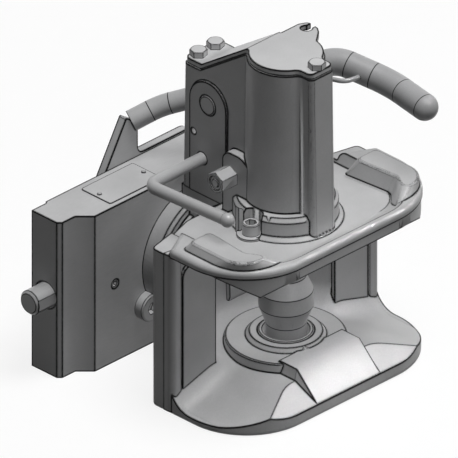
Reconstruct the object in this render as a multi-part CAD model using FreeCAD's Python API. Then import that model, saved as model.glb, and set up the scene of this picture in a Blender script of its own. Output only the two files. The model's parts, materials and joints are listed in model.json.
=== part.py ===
import FreeCAD, Part
import math
import os

# Automatic clevis hitch on a ladder slide. Millimetres, +Z up.
# The origin is on the coupling pin's axis, level with the lock pins and the jaw's shank.
# The mouth opens towards -Y and the towing vehicle is on the +Y side.

V = FreeCAD.Vector

# Fits and small gaps
RUN_FIT = 0.05
SEAT_GAP = 0.3
SCREW_FIT = 0.05

# Slide carriage
CARRIAGE_HALF_WIDTH = 141.0
CARRIAGE_HALF_HEIGHT = 72.65
CARRIAGE_FRONT = 106.9
CARRIAGE_BACK = 152.2
TONGUE_FRONT = 118.2
TONGUE_BACK = 150.2
TONGUE_LENGTH = 18.0
TONGUE_CHAMFER = 3.4
POCKET_HALF_WIDTH = 84.0
POCKET_HALF_HEIGHT = 60.0
POCKET_FLOOR = 121.0
REAR_COVER_THICK = 3.0
REAR_COVER_LEDGE = 8.0
REAR_COVER_RADIUS = 6.0
REAR_SCREW_RADIUS = 2.5
REAR_SCREW_HEAD_RADIUS = 4.6
REAR_SCREW_Z = 40.0
BOSS_RADIUS = 37.9
BOSS_BACK = 160.8

# Lock pins with their guide screws and yokes
LOCK_PIN_RADIUS = 10.75
LOCK_PIN_Y = 134.0
LOCK_PIN_PROUD = 20.0
YOKE_CLEAR = 4.0
LOCK_PIN_CHAMFER = 2.2
LOCK_PIN_FLAT = 9.5
LOCK_PIN_TRAVEL = 22.0
LOCK_BORE_FLARE = 1.2
GUIDE_SCREW_FROM_POCKET = 4.5
GUIDE_SCREW_RADIUS = 4.0
GUIDE_SCREW_SOCKET = 2.3
YOKE_THICK = 8.0
YOKE_FRONT = 138.0
YOKE_ARM = 18.0
YOKE_SCREW_RADIUS = 4.0
YOKE_SCREW_HEAD = 7.0
CRANK_RADIUS = 50.0
CRANK_PIN_RADIUS = 5.0
CRANK_SLOT_GAP = 0.3

# Lock lever with its bar, grip and wire loop
LEVER_PLATE_THICK = 8.0
LEVER_HUB_RADIUS = 62.0
BAR_RADIUS = 9.0
GRIP_RADIUS = 11.35
GRIP_START = 0.36
BAR_IN_GRIP = 45.0
LOOP_RADIUS = 2.0
BAR_POINTS = [(-22.7, 155.0, 105.7), (-1.4, 142.5, 116.5), (95.5, 35.5, 163.3), (110.3, -10.2, 154.1),
              (105.5, -53.3, 151.5)]
BAR_BENDS = [60.0, 30.0, 70.0]
LOOP_POINTS = [(104.0, 9.0, 158.1), (77.0, 9.0, 161.3), (75.0, 62.0, 149.5)]
LOOP_BENDS = [7.0]

# Jaw casting
JAW_HALF_WIDTH = 119.0
JAW_FRONT = -74.0
JAW_CORNER = 62.0
JAW_TOP = 82.0
WALL_FACE = 15.0
WALL_PAD = 3.0
SIDE_REAR = 36.0
TOP_REAR = 15.0
RIM_BEAD_WIDTH = 12.0
RIM_BEAD_FRONT = 11.0
RIM_LOWER = -66.0
RIM_UPPER = 74.0
FRONT_RIM_LOWER = -61.0
FRONT_RIM_UPPER = 65.0
FLOOR_LEVEL = -47.5
ROOF_LEVEL = 36.0
ROOF_HALF_WIDTH = 62.0
ROOF_FRONT = -37.0
RECESS_FLOOR = 72.0
SHOULDER_TOP = 89.0
SHOULDER_ROUND = 2.5
PLATEAU_RADIUS = 50.0
PLATEAU_TOP = -39.0
RAMP_HALF_WIDTH = 36.0
RAMP_TOP = -37.8
RAMP_TOP_Y = -48.5
SEAT_BOSS_RADIUS = 32.0
SEAT_BOSS_TOP = -35.0
THROAT_RADIUS = 76.5
THROAT_CENTRE = -16.5
THROAT_FILLET = 22.0
NECK_START = 46.0
FLANGE_RADIUS = 58.0
FLANGE_THICK = 17.9
FLANGE_STEP_RADIUS = 50.0
FLANGE_STEP = 5.0
SHANK_RADIUS = 30.0
SHANK_END = 158.0
THREAD_RADIUS = 18.0
THREAD_END = 192.0
STOP_BOLT_X = 54.0
STOP_BOLT_Z = -33.0
STOP_BOLT_HEAD_RADIUS = 12.5
STOP_BOLT_HEAD = 9.0
STOP_BOLT_RADIUS = 8.0

# Shank nut
WASHER_RADIUS = 42.0
WASHER_THICK = 5.0
NUT_FLATS = 55.0
NUT_HEIGHT = 22.0
NUT_SLOT_WIDTH = 5.6
NUT_SLOT_DEPTH = 8.0
COTTER_RADIUS = 2.2

# Tower on top of the jaw
TOWER_BASE = 70.0
TOWER_HALF_WIDTH = 20.0
TOWER_REAR = 97.0
TOWER_RADIUS = 31.8
LUG_HALF_WIDTH = 13.5
LUG_FRONT = -42.5
TOWER_DRAFT = 2.0
TOWER_REAR_TOP = 184.0
TOWER_REAR_FLAT = 78.0
TOWER_CREASE = 26.5
TOWER_TOP = 219.5
BASE_RING_RADIUS = 43.0
BASE_RING_TOP = 92.0
COVER_THICK = 5.0
COVER_INSET = 1.2
COVER_BOLT_RADIUS = 4.0
COVER_BOLT_FLATS = 13.0
COVER_BOLT_HEAD = 5.3
COVER_BOLT_LENGTH = 14.0
COVER_BOLTS = [(-9.7, 90.4), (9.7, 90.4), (0.0, -35.5)]
CHAMBER_HALF_WIDTH = 15.0
CHAMBER_FRONT = 27.0
CHAMBER_REAR = 85.0
CHAMBER_FLOOR = 60.0

# Coupling pin, bushes and closing spring
PIN_RADIUS = 22.5
PIN_NECK_RADIUS = 16.6
PIN_TIP_RADIUS = 16.8
PIN_TOP = 115.0
PIN_TIP = -60.0
PIN_LIFT = 95.0
PIN_SPRING_BORE = 13.0
PIN_SPRING_SEAT = 75.0
BUSH_WALL = 4.4
GUIDE_BUSH_LENGTH = 13.0
SEAT_BUSH_RADIUS = 23.0
SEAT_BUSH_TOP = -34.0
CLOSING_SPRING_RADIUS = 12.3
CLOSING_SPRING_WIRE = 1.9
CLOSING_SPRING_TURNS = 11

# Lift lever and arm
LIFT_Y = 73.0
LIFT_Z = 104.5
ROD_RADIUS = 5.25
ROD_BEND = 10.0
ROD_SIDE = -85.0
ROD_BALL_Y = -18.0
ROD_BALL_Z = 109.0
ROD_BALL_RADIUS = 6.1
ARM_REACH = 73.0
ARM_HALF_THICK = 4.0
ARM_HUB_RADIUS = 11.0
ARM_TIP_RADIUS = 5.0
ARM_SLOT_GAP = 1.9
ARM_SLOT_FLARE = 0.45
STUD_REACH = 38.6
STUD_RADIUS = 4.0
STUD_END = 9.5

# Hold-open latch and trigger flap
LATCH_Y = 66.7
LATCH_Z = 156.5
LATCH_SHAFT_RADIUS = 8.75
LATCH_HUB_RADIUS = 13.0
HOOK_INNER = 45.8
HOOK_NOSE = 43.1
HOOK_OUTER = 50.0
FLAP_Y = 60.0
FLAP_Z = 70.0
FLAP_HALF_WIDTH = 14.0
FLAP_BOTTOM = -24.0
FLAP_TAIL = 22.0
FLAP_BARREL_RADIUS = 8.0
FLAP_PIN_RADIUS = 4.0
TAIL_PIN_RADIUS = 3.0

# Outside details of the tower
PAD_RADIUS = 21.0
PAD_PROUD = 2.0
SIDE_BOSS_FACE = -30.0
SIDE_BOSS_FRONT = 12.0
SIDE_BOSS_REAR = 43.0
SIDE_BOSS_TOP = 128.0
PLUG_Y = 34.0
PLUG_Z = 107.0
PLUG_FLATS = 17.0
PLUG_LENGTH = 17.5
PLUG_STEM_RADIUS = 6.0
CAP_SCREW_OUT = 0.1
CAP_SCREW_Y = -3.0
CAP_SCREW_HEAD_RADIUS = 7.45
CAP_SCREW_HEAD = 10.0
CAP_SCREW_RADIUS = 5.0
CAP_SCREW_SOCKET = 8.0
CAP_POCKET_RADIUS = 9.4
CLIP_THICK = 2.0

# Type plate on the carriage
TYPE_PLATE = [(-89.5, 111.5), (-30.0, 111.5), (-30.0, 145.5), (-89.5, 145.5)]
TYPE_PLATE_THICK = 1.0
RIVET_RADIUS = 2.2


# Shapes that the sub-parts share

def place(plane, u, v, level):
    """A point given in a drawing plane, as a point in space."""
    if plane == "xy":
        return V(u, v, level)
    if plane == "xz":
        return V(u, level, v)
    return V(level, u, v)


def normal(plane):
    return {"xy": V(0, 0, 1), "xz": V(0, 1, 0), "yz": V(1, 0, 0)}[plane]


def rounded_wire(corners, plane, level):
    """A closed outline from corners (u, v, radius), each corner rounded where its radius isn't nought."""
    count = len(corners)
    stops = []
    for i, (u, v, radius) in enumerate(corners):
        here = place(plane, u, v, level)
        if radius <= 0:
            stops.append((here, here, here))
            continue
        before = place(plane, corners[i - 1][0], corners[i - 1][1], level)
        after = place(plane, corners[(i + 1) % count][0], corners[(i + 1) % count][1], level)
        a = (before - here).normalize()
        b = (after - here).normalize()
        half = math.acos(a.dot(b)) / 2
        reach = radius / math.tan(half)
        middle = here + (a + b).normalize() * (radius / math.sin(half) - radius)
        stops.append((here + a * reach, middle, here + b * reach))
    edges = []
    for i, (start, middle, end) in enumerate(stops):
        if start.distanceToPoint(end) > 1e-6:
            edges.append(Part.Arc(start, middle, end).toShape())
        following = stops[(i + 1) % count][0]
        if end.distanceToPoint(following) > 1e-6:
            edges.append(Part.makeLine(end, following))
    return Part.Wire(edges)


def prism(corners, plane, start, end):
    """A straight solid between two levels from an outline with rounded corners."""
    face = Part.Face(rounded_wire(corners, plane, start))
    return face.extrude(normal(plane) * (end - start))


def loft(lower, upper, plane, start, end):
    """A ruled solid between two outlines with as many corners each."""
    wires = [rounded_wire(lower, plane, start), rounded_wire(upper, plane, end)]
    return Part.makeLoft(wires, True, True)


def block(x0, x1, y0, y1, z0, z1):
    return Part.makeBox(x1 - x0, y1 - y0, z1 - z0, V(x0, y0, z0))


def rod_x(radius, x0, x1, y, z):
    return Part.makeCylinder(radius, x1 - x0, V(x0, y, z), V(1, 0, 0))


def rod_y(radius, y0, y1, x, z):
    return Part.makeCylinder(radius, y1 - y0, V(x, y0, z), V(0, 1, 0))


def rod_z(radius, z0, z1, x=0.0, y=0.0):
    return Part.makeCylinder(radius, z1 - z0, V(x, y, z0), V(0, 0, 1))


def turned(profile, base, axis):
    """A turned solid from (radius, height) points along an axis that starts at base."""
    side = V(0, 1, 0) if abs(axis.x) > 0.5 else V(1, 0, 0)
    points = [base + side * radius + axis * height for radius, height in profile]
    face = Part.Face(Part.makePolygon(points + [points[0]]))
    return face.revolve(base, axis, 360)


def hexagon(flats, plane, start, end, u, v, turn=0.0):
    corner = flats / math.sqrt(3)
    corners = []
    for i in range(6):
        angle = math.radians(60 * i + turn)
        corners.append((u + corner * math.cos(angle), v + corner * math.sin(angle), 0))
    return prism(corners, plane, start, end)


def chamfered_hexagon(flats, plane, start, end, u, v, turn=0.0):
    """A hexagon whose outer end is turned down to a cone, as on a bolt head."""
    length = abs(end - start)
    sign = 1 if end > start else -1
    corner = flats / math.sqrt(3)
    trim = corner - flats / 2
    cone = turned([(0, 0), (corner, 0), (corner, length - trim * 0.6), (flats / 2 - 0.2, length),
                   (0, length)],
                  place(plane, u, v, start), normal(plane) * sign)
    return hexagon(flats, plane, min(start, end), max(start, end), u, v, turn).common(cone)


def edges_where(shape, test):
    return [edge for edge in shape.Edges if test(edge.BoundBox)]


def pipe(points, bends, radius):
    """A round bar with straight runs joined by tangent bends."""
    points = [V(*p) for p in points]
    pieces = []
    start = points[0]
    for i, bend in enumerate(bends):
        here = points[i + 1]
        a = (points[i] - here).normalize()
        b = (points[i + 2] - here).normalize()
        half = math.acos(a.dot(b)) / 2
        reach = bend / math.tan(half)
        centre = here + (a + b).normalize() * (bend / math.sin(half))
        from_here = here + a * reach
        axis = b.cross(a).normalize()
        disc = Part.Face(Part.Wire(Part.makeCircle(radius, from_here, a)))
        pieces.append(Part.makeCylinder(radius, (from_here - start).Length, start, a * -1))
        pieces.append(disc.revolve(centre, axis, 180 - math.degrees(2 * half)))
        start = here + b * reach
    last = points[-1] - start
    pieces.append(Part.makeCylinder(radius, last.Length, start, last))
    return pieces[0].multiFuse(pieces[1:]).removeSplitter()


def triangle(a, b, c):
    return Part.Face(Part.makePolygon([a, b, c, a]))


def coil(mean_radius, wire_radius, turns, length):
    """A six-sided wire on a helix up the Z axis from nought, made of flat triangles."""
    per_turn = 16
    steps = int(round(turns * per_turn))
    climb = (length - 2 * wire_radius) / steps
    rings = []
    for i in range(steps + 1):
        angle = 2 * math.pi * i / per_turn
        out = V(math.cos(angle), math.sin(angle), 0)
        middle = out * mean_radius + V(0, 0, wire_radius + climb * i)
        ring = []
        for k in range(6):
            turn = math.radians(60 * k + 30)
            ring.append(middle + out * (wire_radius * math.cos(turn)) + V(0, 0,
                                                                          wire_radius * math.sin(turn)))
        rings.append(ring)
    faces = []
    for lower, upper in zip(rings, rings[1:]):
        for k in range(6):
            after = (k + 1) % 6
            faces.append(triangle(lower[k], lower[after], upper[after]))
            faces.append(triangle(lower[k], upper[after], upper[k]))
    for ring in (rings[0], rings[-1]):
        faces.append(Part.Face(Part.makePolygon(ring + [ring[0]])))
    return Part.makeSolid(Part.makeShell(faces))


def save(name, *solids):
    shape = solids[0] if len(solids) == 1 else Part.makeCompound(list(solids))
    count = len(shape.Solids)
    if count == 0 or not shape.isValid():
        raise RuntimeError(name + " is not a sound solid")
    if len(solids) == 1 and count != 1:
        raise RuntimeError(name + " fell into " + str(count) + " solids")
    shape.exportStep("parts/" + name + ".step")


# Slide carriage and what is fixed to it

def mirrored(shape):
    return shape.mirror(V(0, 0, 0), V(1, 0, 0))


def carriage_plan():
    """The guide tongues at both ends and the thicker middle, seen from above."""
    step = TONGUE_FRONT - CARRIAGE_FRONT
    inner = CARRIAGE_HALF_WIDTH - TONGUE_LENGTH
    back_step = CARRIAGE_BACK - TONGUE_BACK
    half = [(inner - step, CARRIAGE_FRONT, 0), (inner, TONGUE_FRONT, 0),
            (CARRIAGE_HALF_WIDTH - TONGUE_CHAMFER, TONGUE_FRONT, 0),
            (CARRIAGE_HALF_WIDTH, TONGUE_FRONT + TONGUE_CHAMFER, 0), (CARRIAGE_HALF_WIDTH, TONGUE_BACK, 0),
            (inner + back_step, TONGUE_BACK, 0), (inner, CARRIAGE_BACK, 0)]
    return half + [(-x, y, r) for x, y, r in reversed(half)]


def lock_pin_inner():
    """X of the lock pins' inner ends, with the yokes clear of the pocket's end walls."""
    return POCKET_HALF_WIDTH - YOKE_ARM - YOKE_CLEAR


def guide_screw_x():
    return POCKET_HALF_WIDTH + GUIDE_SCREW_FROM_POCKET


def lock_pin_bore():
    """The through bore for one lock pin, with a flared mouth."""
    radius = LOCK_PIN_RADIUS + RUN_FIT
    bore = rod_x(radius, POCKET_HALF_WIDTH - 1, CARRIAGE_HALF_WIDTH + 1, LOCK_PIN_Y, 0)
    flare = Part.makeCone(radius, radius + LOCK_BORE_FLARE, LOCK_BORE_FLARE,
                          V(CARRIAGE_HALF_WIDTH - LOCK_BORE_FLARE, LOCK_PIN_Y, 0), V(1, 0, 0))
    return bore.fuse(flare)


def make_carriage():
    body = prism(carriage_plan(), "xy", -CARRIAGE_HALF_HEIGHT, CARRIAGE_HALF_HEIGHT)
    pocket = prism([(-POCKET_HALF_WIDTH, -POCKET_HALF_HEIGHT, REAR_COVER_RADIUS),
                    (POCKET_HALF_WIDTH, -POCKET_HALF_HEIGHT, REAR_COVER_RADIUS),
                    (POCKET_HALF_WIDTH, POCKET_HALF_HEIGHT, REAR_COVER_RADIUS),
                    (-POCKET_HALF_WIDTH, POCKET_HALF_HEIGHT, REAR_COVER_RADIUS)],
                   "xz", POCKET_FLOOR, CARRIAGE_BACK + 1)
    body = body.cut(pocket).cut(rear_cover_blank(0.2, CARRIAGE_BACK - REAR_COVER_THICK, CARRIAGE_BACK + 1))
    body = body.fuse(rod_y(BOSS_RADIUS, POCKET_FLOOR, BOSS_BACK, 0, 0))
    body = body.cut(rod_y(SHANK_RADIUS + RUN_FIT, CARRIAGE_FRONT - 1, BOSS_BACK + 1, 0, 0))
    bore = lock_pin_bore()
    screw = rod_y(GUIDE_SCREW_RADIUS + SCREW_FIT, CARRIAGE_FRONT - 1, LOCK_PIN_Y, guide_screw_x(), 0)
    stop = rod_y(STOP_BOLT_RADIUS + SCREW_FIT, CARRIAGE_FRONT - 1, POCKET_FLOOR + 1, STOP_BOLT_X,
                 STOP_BOLT_Z)
    for tool in (bore, screw, stop):
        body = body.cut(tool).cut(mirrored(tool))
    for x, z in rear_screw_places():
        body = body.cut(rod_y(REAR_SCREW_RADIUS + SCREW_FIT, CARRIAGE_BACK - 15, CARRIAGE_BACK, x, z))
    for x, y in rivet_places():
        body = body.cut(rod_z(RIVET_RADIUS / 2 + SCREW_FIT, CARRIAGE_HALF_HEIGHT - 5,
                              CARRIAGE_HALF_HEIGHT + 1, x, y))
    return body.removeSplitter()


def rear_cover_blank(grow, y0, y1):
    half_x = POCKET_HALF_WIDTH + REAR_COVER_LEDGE + grow
    half_z = POCKET_HALF_HEIGHT + REAR_COVER_LEDGE + grow
    return prism([(-half_x, -half_z, REAR_COVER_RADIUS), (half_x, -half_z, REAR_COVER_RADIUS),
                  (half_x, half_z, REAR_COVER_RADIUS), (-half_x, half_z, REAR_COVER_RADIUS)], "xz", y0, y1)


def rear_screw_places():
    x = POCKET_HALF_WIDTH + REAR_COVER_LEDGE / 2
    return [(sx * x, sz * REAR_SCREW_Z) for sx in (-1, 1) for sz in (-1, 1)]


def crank_swing():
    """Half the angle that the lock lever turns through, from the lock pins' travel."""
    return math.asin(LOCK_PIN_TRAVEL / 2 / CRANK_RADIUS)


def crank_slot(y0, y1):
    """The curved slot that a crank pin sweeps in the rear cover, above the shank."""
    gap = CRANK_PIN_RADIUS + 1.0
    swing = crank_swing()
    ring = rod_y(CRANK_RADIUS + gap, y0, y1, 0, 0).cut(rod_y(CRANK_RADIUS - gap, y0, y1, 0, 0))
    reach = (CRANK_RADIUS + gap) * math.tan(swing)
    wedge = prism([(0, 0, 0), (reach * 2, (CRANK_RADIUS + gap) * 2, 0),
                   (-reach * 2, (CRANK_RADIUS + gap) * 2, 0)],
                  "xz", y0, y1)
    slot = ring.common(wedge)
    for side in (-1, 1):
        x = side * CRANK_RADIUS * math.sin(swing)
        slot = slot.fuse(rod_y(gap, y0, y1, x, CRANK_RADIUS * math.cos(swing)))
    return slot


def make_rear_cover():
    y0 = CARRIAGE_BACK - REAR_COVER_THICK
    plate = rear_cover_blank(0, y0, CARRIAGE_BACK)
    plate = plate.cut(rod_y(BOSS_RADIUS + 0.5, y0 - 1, CARRIAGE_BACK + 1, 0, 0))
    slot = crank_slot(y0 - 1, CARRIAGE_BACK + 1)
    plate = plate.cut(slot).cut(slot.mirror(V(0, 0, 0), V(0, 0, 1)))
    for x, z in rear_screw_places():
        plate = plate.cut(rear_screw(x, z, SCREW_FIT))
    return plate


def rear_screw(x, z, grow=0.0):
    """A countersunk screw, flush with the cover."""
    head = REAR_SCREW_HEAD_RADIUS + grow
    stem = REAR_SCREW_RADIUS + grow
    sink = head - stem
    return turned([(0, -14), (stem, -14), (stem, -sink), (head, 0), (0, 0)], V(x, CARRIAGE_BACK, z),
                  V(0, 1, 0))


def make_rear_screws():
    return [rear_screw(x, z) for x, z in rear_screw_places()]


def rivet_places():
    x0, y0 = TYPE_PLATE[0]
    x1, y1 = TYPE_PLATE[2]
    middle = (y0 + y1) / 2
    return [(x0 + 4.5, middle), (x1 - 4.5, middle)]


def make_type_plate():
    corners = [(x, y, 2.0) for x, y in TYPE_PLATE]
    plate = prism(corners, "xy", CARRIAGE_HALF_HEIGHT, CARRIAGE_HALF_HEIGHT + TYPE_PLATE_THICK)
    for x, y in rivet_places():
        hole = rod_z(RIVET_RADIUS / 2 + SCREW_FIT, CARRIAGE_HALF_HEIGHT - 1, CARRIAGE_HALF_HEIGHT + 3, x, y)
        plate = plate.cut(hole)
    return plate


def make_rivets():
    """Round-headed drive rivets: a stem in the carriage and a low dome on the plate."""
    top = CARRIAGE_HALF_HEIGHT + TYPE_PLATE_THICK
    rivets = []
    for x, y in rivet_places():
        stem = RIVET_RADIUS / 2
        foot = CARRIAGE_HALF_HEIGHT - top - 4
        rivets.append(turned([(0, foot), (stem, foot), (stem, 0), (RIVET_RADIUS, 0),
                              (RIVET_RADIUS * 0.85, stem * 0.8),
                              (RIVET_RADIUS * 0.45, stem * 1.3), (0, stem * 1.4)], V(x, y, top),
                              V(0, 0, 1)))
    return rivets


def make_guide_screws():
    """Socket set screws whose tips keep the lock pins' flats facing forwards."""
    tip = LOCK_PIN_Y - LOCK_PIN_FLAT - 0.2
    screw = rod_y(GUIDE_SCREW_RADIUS, CARRIAGE_FRONT + 0.4, tip, guide_screw_x(), 0)
    socket = hexagon(GUIDE_SCREW_SOCKET * 2, "xz", CARRIAGE_FRONT, CARRIAGE_FRONT + 4, guide_screw_x(), 0)
    screw = screw.cut(socket)
    return [mirrored(screw), screw]


def make_stop_bolts():
    """Round-headed bolts that sit in notches of the jaw's flange and keep the jaw level."""
    bolt = turned([(0, -STOP_BOLT_HEAD), (STOP_BOLT_HEAD_RADIUS - 1.5, -STOP_BOLT_HEAD),
                   (STOP_BOLT_HEAD_RADIUS, 1.5 - STOP_BOLT_HEAD), (STOP_BOLT_HEAD_RADIUS, 0),
                   (STOP_BOLT_RADIUS, 0),
                   (STOP_BOLT_RADIUS, POCKET_FLOOR - CARRIAGE_FRONT - 1),
                   (0, POCKET_FLOOR - CARRIAGE_FRONT - 1)],
                  V(STOP_BOLT_X, CARRIAGE_FRONT, STOP_BOLT_Z), V(0, 1, 0))
    socket = hexagon(10, "xz", CARRIAGE_FRONT - STOP_BOLT_HEAD - 1, CARRIAGE_FRONT - 3, STOP_BOLT_X,
                     STOP_BOLT_Z)
    bolt = bolt.cut(socket)
    return [mirrored(bolt), bolt]


# Lock pins and what moves with them. The right one is drawn, the left one is turned half round the Y axis.

def half_turn(shape):
    copy = shape.copy()
    copy.rotate(V(0, 0, 0), V(0, 1, 0), 180)
    return copy


def make_lock_pin():
    """A round pin with a chamfered nose, a front flat and a seat for its yoke at the inner end."""
    outer = CARRIAGE_HALF_WIDTH + LOCK_PIN_PROUD
    length = outer - lock_pin_inner()
    pin = turned([(0, 0), (LOCK_PIN_RADIUS - 1, 0), (LOCK_PIN_RADIUS, 1),
                  (LOCK_PIN_RADIUS, length - LOCK_PIN_CHAMFER),
                  (LOCK_PIN_RADIUS - LOCK_PIN_CHAMFER, length), (0, length)],
                 V(lock_pin_inner(), LOCK_PIN_Y, 0), V(1, 0, 0))
    reach = LOCK_PIN_RADIUS + 1
    flat = block(lock_pin_inner() - 1, outer - LOCK_PIN_CHAMFER, LOCK_PIN_Y - reach,
                 LOCK_PIN_Y - LOCK_PIN_FLAT,
                 -reach, reach)
    seat = block(lock_pin_inner() - 1, lock_pin_inner() + YOKE_ARM + 0.2, YOKE_FRONT, LOCK_PIN_Y + reach,
                 -reach, reach)
    pin = pin.cut(flat).cut(seat)
    return pin.cut(rod_y(YOKE_SCREW_RADIUS + SCREW_FIT, YOKE_FRONT - 10, YOKE_FRONT + 1, yoke_screw_x(), 0))


def yoke_screw_x():
    return lock_pin_inner() + YOKE_ARM / 2


def make_yoke():
    """A bent plate from the right lock pin's inner end down to its crank pin's upright slot."""
    x0 = lock_pin_inner()
    x1 = lock_pin_inner() + YOKE_ARM
    low = -(CRANK_RADIUS + CRANK_PIN_RADIUS + 3)
    high = -(CRANK_RADIUS - CRANK_PIN_RADIUS - 4)
    crank_x = CRANK_RADIUS * math.sin(crank_swing())
    end = crank_x - CRANK_PIN_RADIUS - 7
    corners = [(end, low, 4), (x1, low, 10), (x1, 11, 4), (x0, 11, 4), (x0, high, 8), (end, high, 4)]
    plate = prism(corners, "xz", YOKE_FRONT, YOKE_FRONT + YOKE_THICK)
    gap = CRANK_PIN_RADIUS + CRANK_SLOT_GAP
    centre = -CRANK_RADIUS
    slot = prism([(crank_x - gap, centre - gap - 0.5, gap - 0.1), (crank_x + gap, centre - gap - 0.5,
                                                                   gap - 0.1),
                  (crank_x + gap, centre + gap + 2, gap - 0.1), (crank_x - gap, centre + gap + 2,
                                                                 gap - 0.1)],
                 "xz", YOKE_FRONT - 1, YOKE_FRONT + YOKE_THICK + 1)
    return plate.cut(slot).cut(yoke_screw(SCREW_FIT))


def yoke_screw(grow=0.0):
    stem = YOKE_SCREW_RADIUS + grow
    head = YOKE_SCREW_HEAD + grow
    back = YOKE_FRONT + YOKE_THICK
    sink = head - stem
    return turned([(0, -YOKE_THICK - 9), (stem, -YOKE_THICK - 9), (stem, -sink), (head, 0), (0, 0)],
                  V(yoke_screw_x(), back, 0), V(0, 1, 0))


# Lock lever

def lever_plate_face():
    """Y of the lever plate's front face, a running gap behind the carriage."""
    return CARRIAGE_BACK + SEAT_GAP


def make_lever_plate():
    y0 = lever_plate_face()
    top = CARRIAGE_HALF_HEIGHT + 1.4
    corners = [(-30, 112.5, 1.5), (-70, 43.5, 25), (-66, -62, 50), (66, -62, 50), (62, 40, 30),
               (44, top, 12),
               (-17, top, 7), (-17.2, 104, 2)]
    plate = prism(corners, "xz", y0, y0 + LEVER_PLATE_THICK)
    plate = plate.cut(rod_y(BOSS_RADIUS + RUN_FIT, y0 - 1, y0 + LEVER_PLATE_THICK + 1, 0, 0))
    for x, z in crank_places():
        plate = plate.cut(rod_y(CRANK_PIN_RADIUS + SCREW_FIT, y0 - 1, y0 + LEVER_PLATE_THICK + 1, x, z))
    return plate.cut(make_lever_bar())


def crank_places():
    """The crank pins at rest: the upper one left of the shank, the lower one right of it."""
    x = CRANK_RADIUS * math.sin(crank_swing())
    z = CRANK_RADIUS * math.cos(crank_swing())
    return [(-x, z), (x, -z)]


def make_crank_pins():
    """Two headed pins in the lever plate that reach forwards through the rear cover into the yokes."""
    pins = []
    back = lever_plate_face() + LEVER_PLATE_THICK
    for x, z in crank_places():
        pins.append(turned([(0, YOKE_FRONT - back + 0.5), (CRANK_PIN_RADIUS - 0.8, YOKE_FRONT - back + 0.5),
                            (CRANK_PIN_RADIUS, YOKE_FRONT - back + 1.3), (CRANK_PIN_RADIUS, 0),
                            (CRANK_PIN_RADIUS + 2.5, 0), (CRANK_PIN_RADIUS + 2.5, 2), (0, 3)],
                           V(x, back, z), V(0, 1, 0)))
    return pins


def grip_points():
    """The bar's route from where the grip starts, between its second and third points."""
    a = V(*BAR_POINTS[1])
    b = V(*BAR_POINTS[2])
    start = a + (b - a) * GRIP_START
    return [(start.x, start.y, start.z)] + BAR_POINTS[2:]


def make_lever_bar():
    """The round bar from the lever plate up into the grip."""
    start = V(*grip_points()[0])
    stop = start + (V(*BAR_POINTS[2]) - start).normalize() * BAR_IN_GRIP
    return pipe(BAR_POINTS[:2] + [(stop.x, stop.y, stop.z)], BAR_BENDS[:1], BAR_RADIUS)


def round_nose(radius, end, out):
    """Half a ball that closes a round bar's end."""
    side = out.cross(V(0, 0, 1)).normalize()
    rim = end + side * radius
    middle = end + (side + out).normalize() * radius
    tip = end + out * radius
    edges = [Part.makeLine(end, rim), Part.Arc(rim, middle, tip).toShape(), Part.makeLine(tip, end)]
    return Part.Face(Part.Wire(edges)).revolve(end, out, 360)


def grip_blank():
    sleeve = pipe(grip_points(), BAR_BENDS[1:], GRIP_RADIUS)
    end = V(*BAR_POINTS[-1])
    out = (end - V(*BAR_POINTS[-2])).normalize()
    return sleeve.fuse(round_nose(GRIP_RADIUS, end, out)).removeSplitter()


def make_grip():
    start = V(*grip_points()[0])
    along = (V(*BAR_POINTS[2]) - start).normalize()
    bore = Part.makeCylinder(BAR_RADIUS, BAR_IN_GRIP + 5, start - along * 5, along)
    return grip_blank().cut(bore)


def make_wire_loop():
    loop = pipe(LOOP_POINTS, LOOP_BENDS, LOOP_RADIUS)
    return loop.cut(grip_blank()).cut(make_lever_bar())


# Jaw casting

def mouth_space():
    """The space between the jaws: open to the front and sides, with a round throat behind."""
    wide = JAW_HALF_WIDTH + 25
    edge = JAW_HALF_WIDTH - 6
    section = [(-wide, RIM_LOWER, 0), (-edge, RIM_LOWER, 4), (-PLATEAU_RADIUS, FLOOR_LEVEL, 60),
               (PLATEAU_RADIUS, FLOOR_LEVEL, 60), (edge, RIM_LOWER, 4), (wide, RIM_LOWER, 0),
               (wide, RIM_UPPER, 0), (edge + 3, RIM_UPPER, 4), (ROOF_HALF_WIDTH, ROOF_LEVEL, 40),
               (-ROOF_HALF_WIDTH, ROOF_LEVEL, 40), (-edge - 3, RIM_UPPER, 4), (-wide, RIM_UPPER, 0)]
    tube = prism(section, "xz", JAW_FRONT - 30, THROAT_CENTRE + THROAT_RADIUS + 2)
    front = block(-wide - 1, wide + 1, JAW_FRONT - 31, WALL_FACE, RIM_LOWER - 1, RIM_UPPER + 1)
    throat = rod_z(THROAT_RADIUS, RIM_LOWER - 1, RIM_UPPER + 1, 0, THROAT_CENTRE)
    space = tube.common(front.fuse(throat).removeSplitter())
    corner_x = math.sqrt(THROAT_RADIUS ** 2 - (WALL_FACE - THROAT_CENTRE) ** 2)
    corners = edges_where(space, lambda b: b.ZLength > 60 and abs(abs(b.Center.x) - corner_x) < 1
                          and abs(b.Center.y - WALL_FACE) < 1)
    space = space.makeFillet(9, corners)
    floor = edges_where(space, lambda b: b.YMin > WALL_FACE - 1 and b.ZMax < -20 and b.XLength > 3)
    space = space.makeFillet(THROAT_FILLET, floor)
    return space


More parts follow.
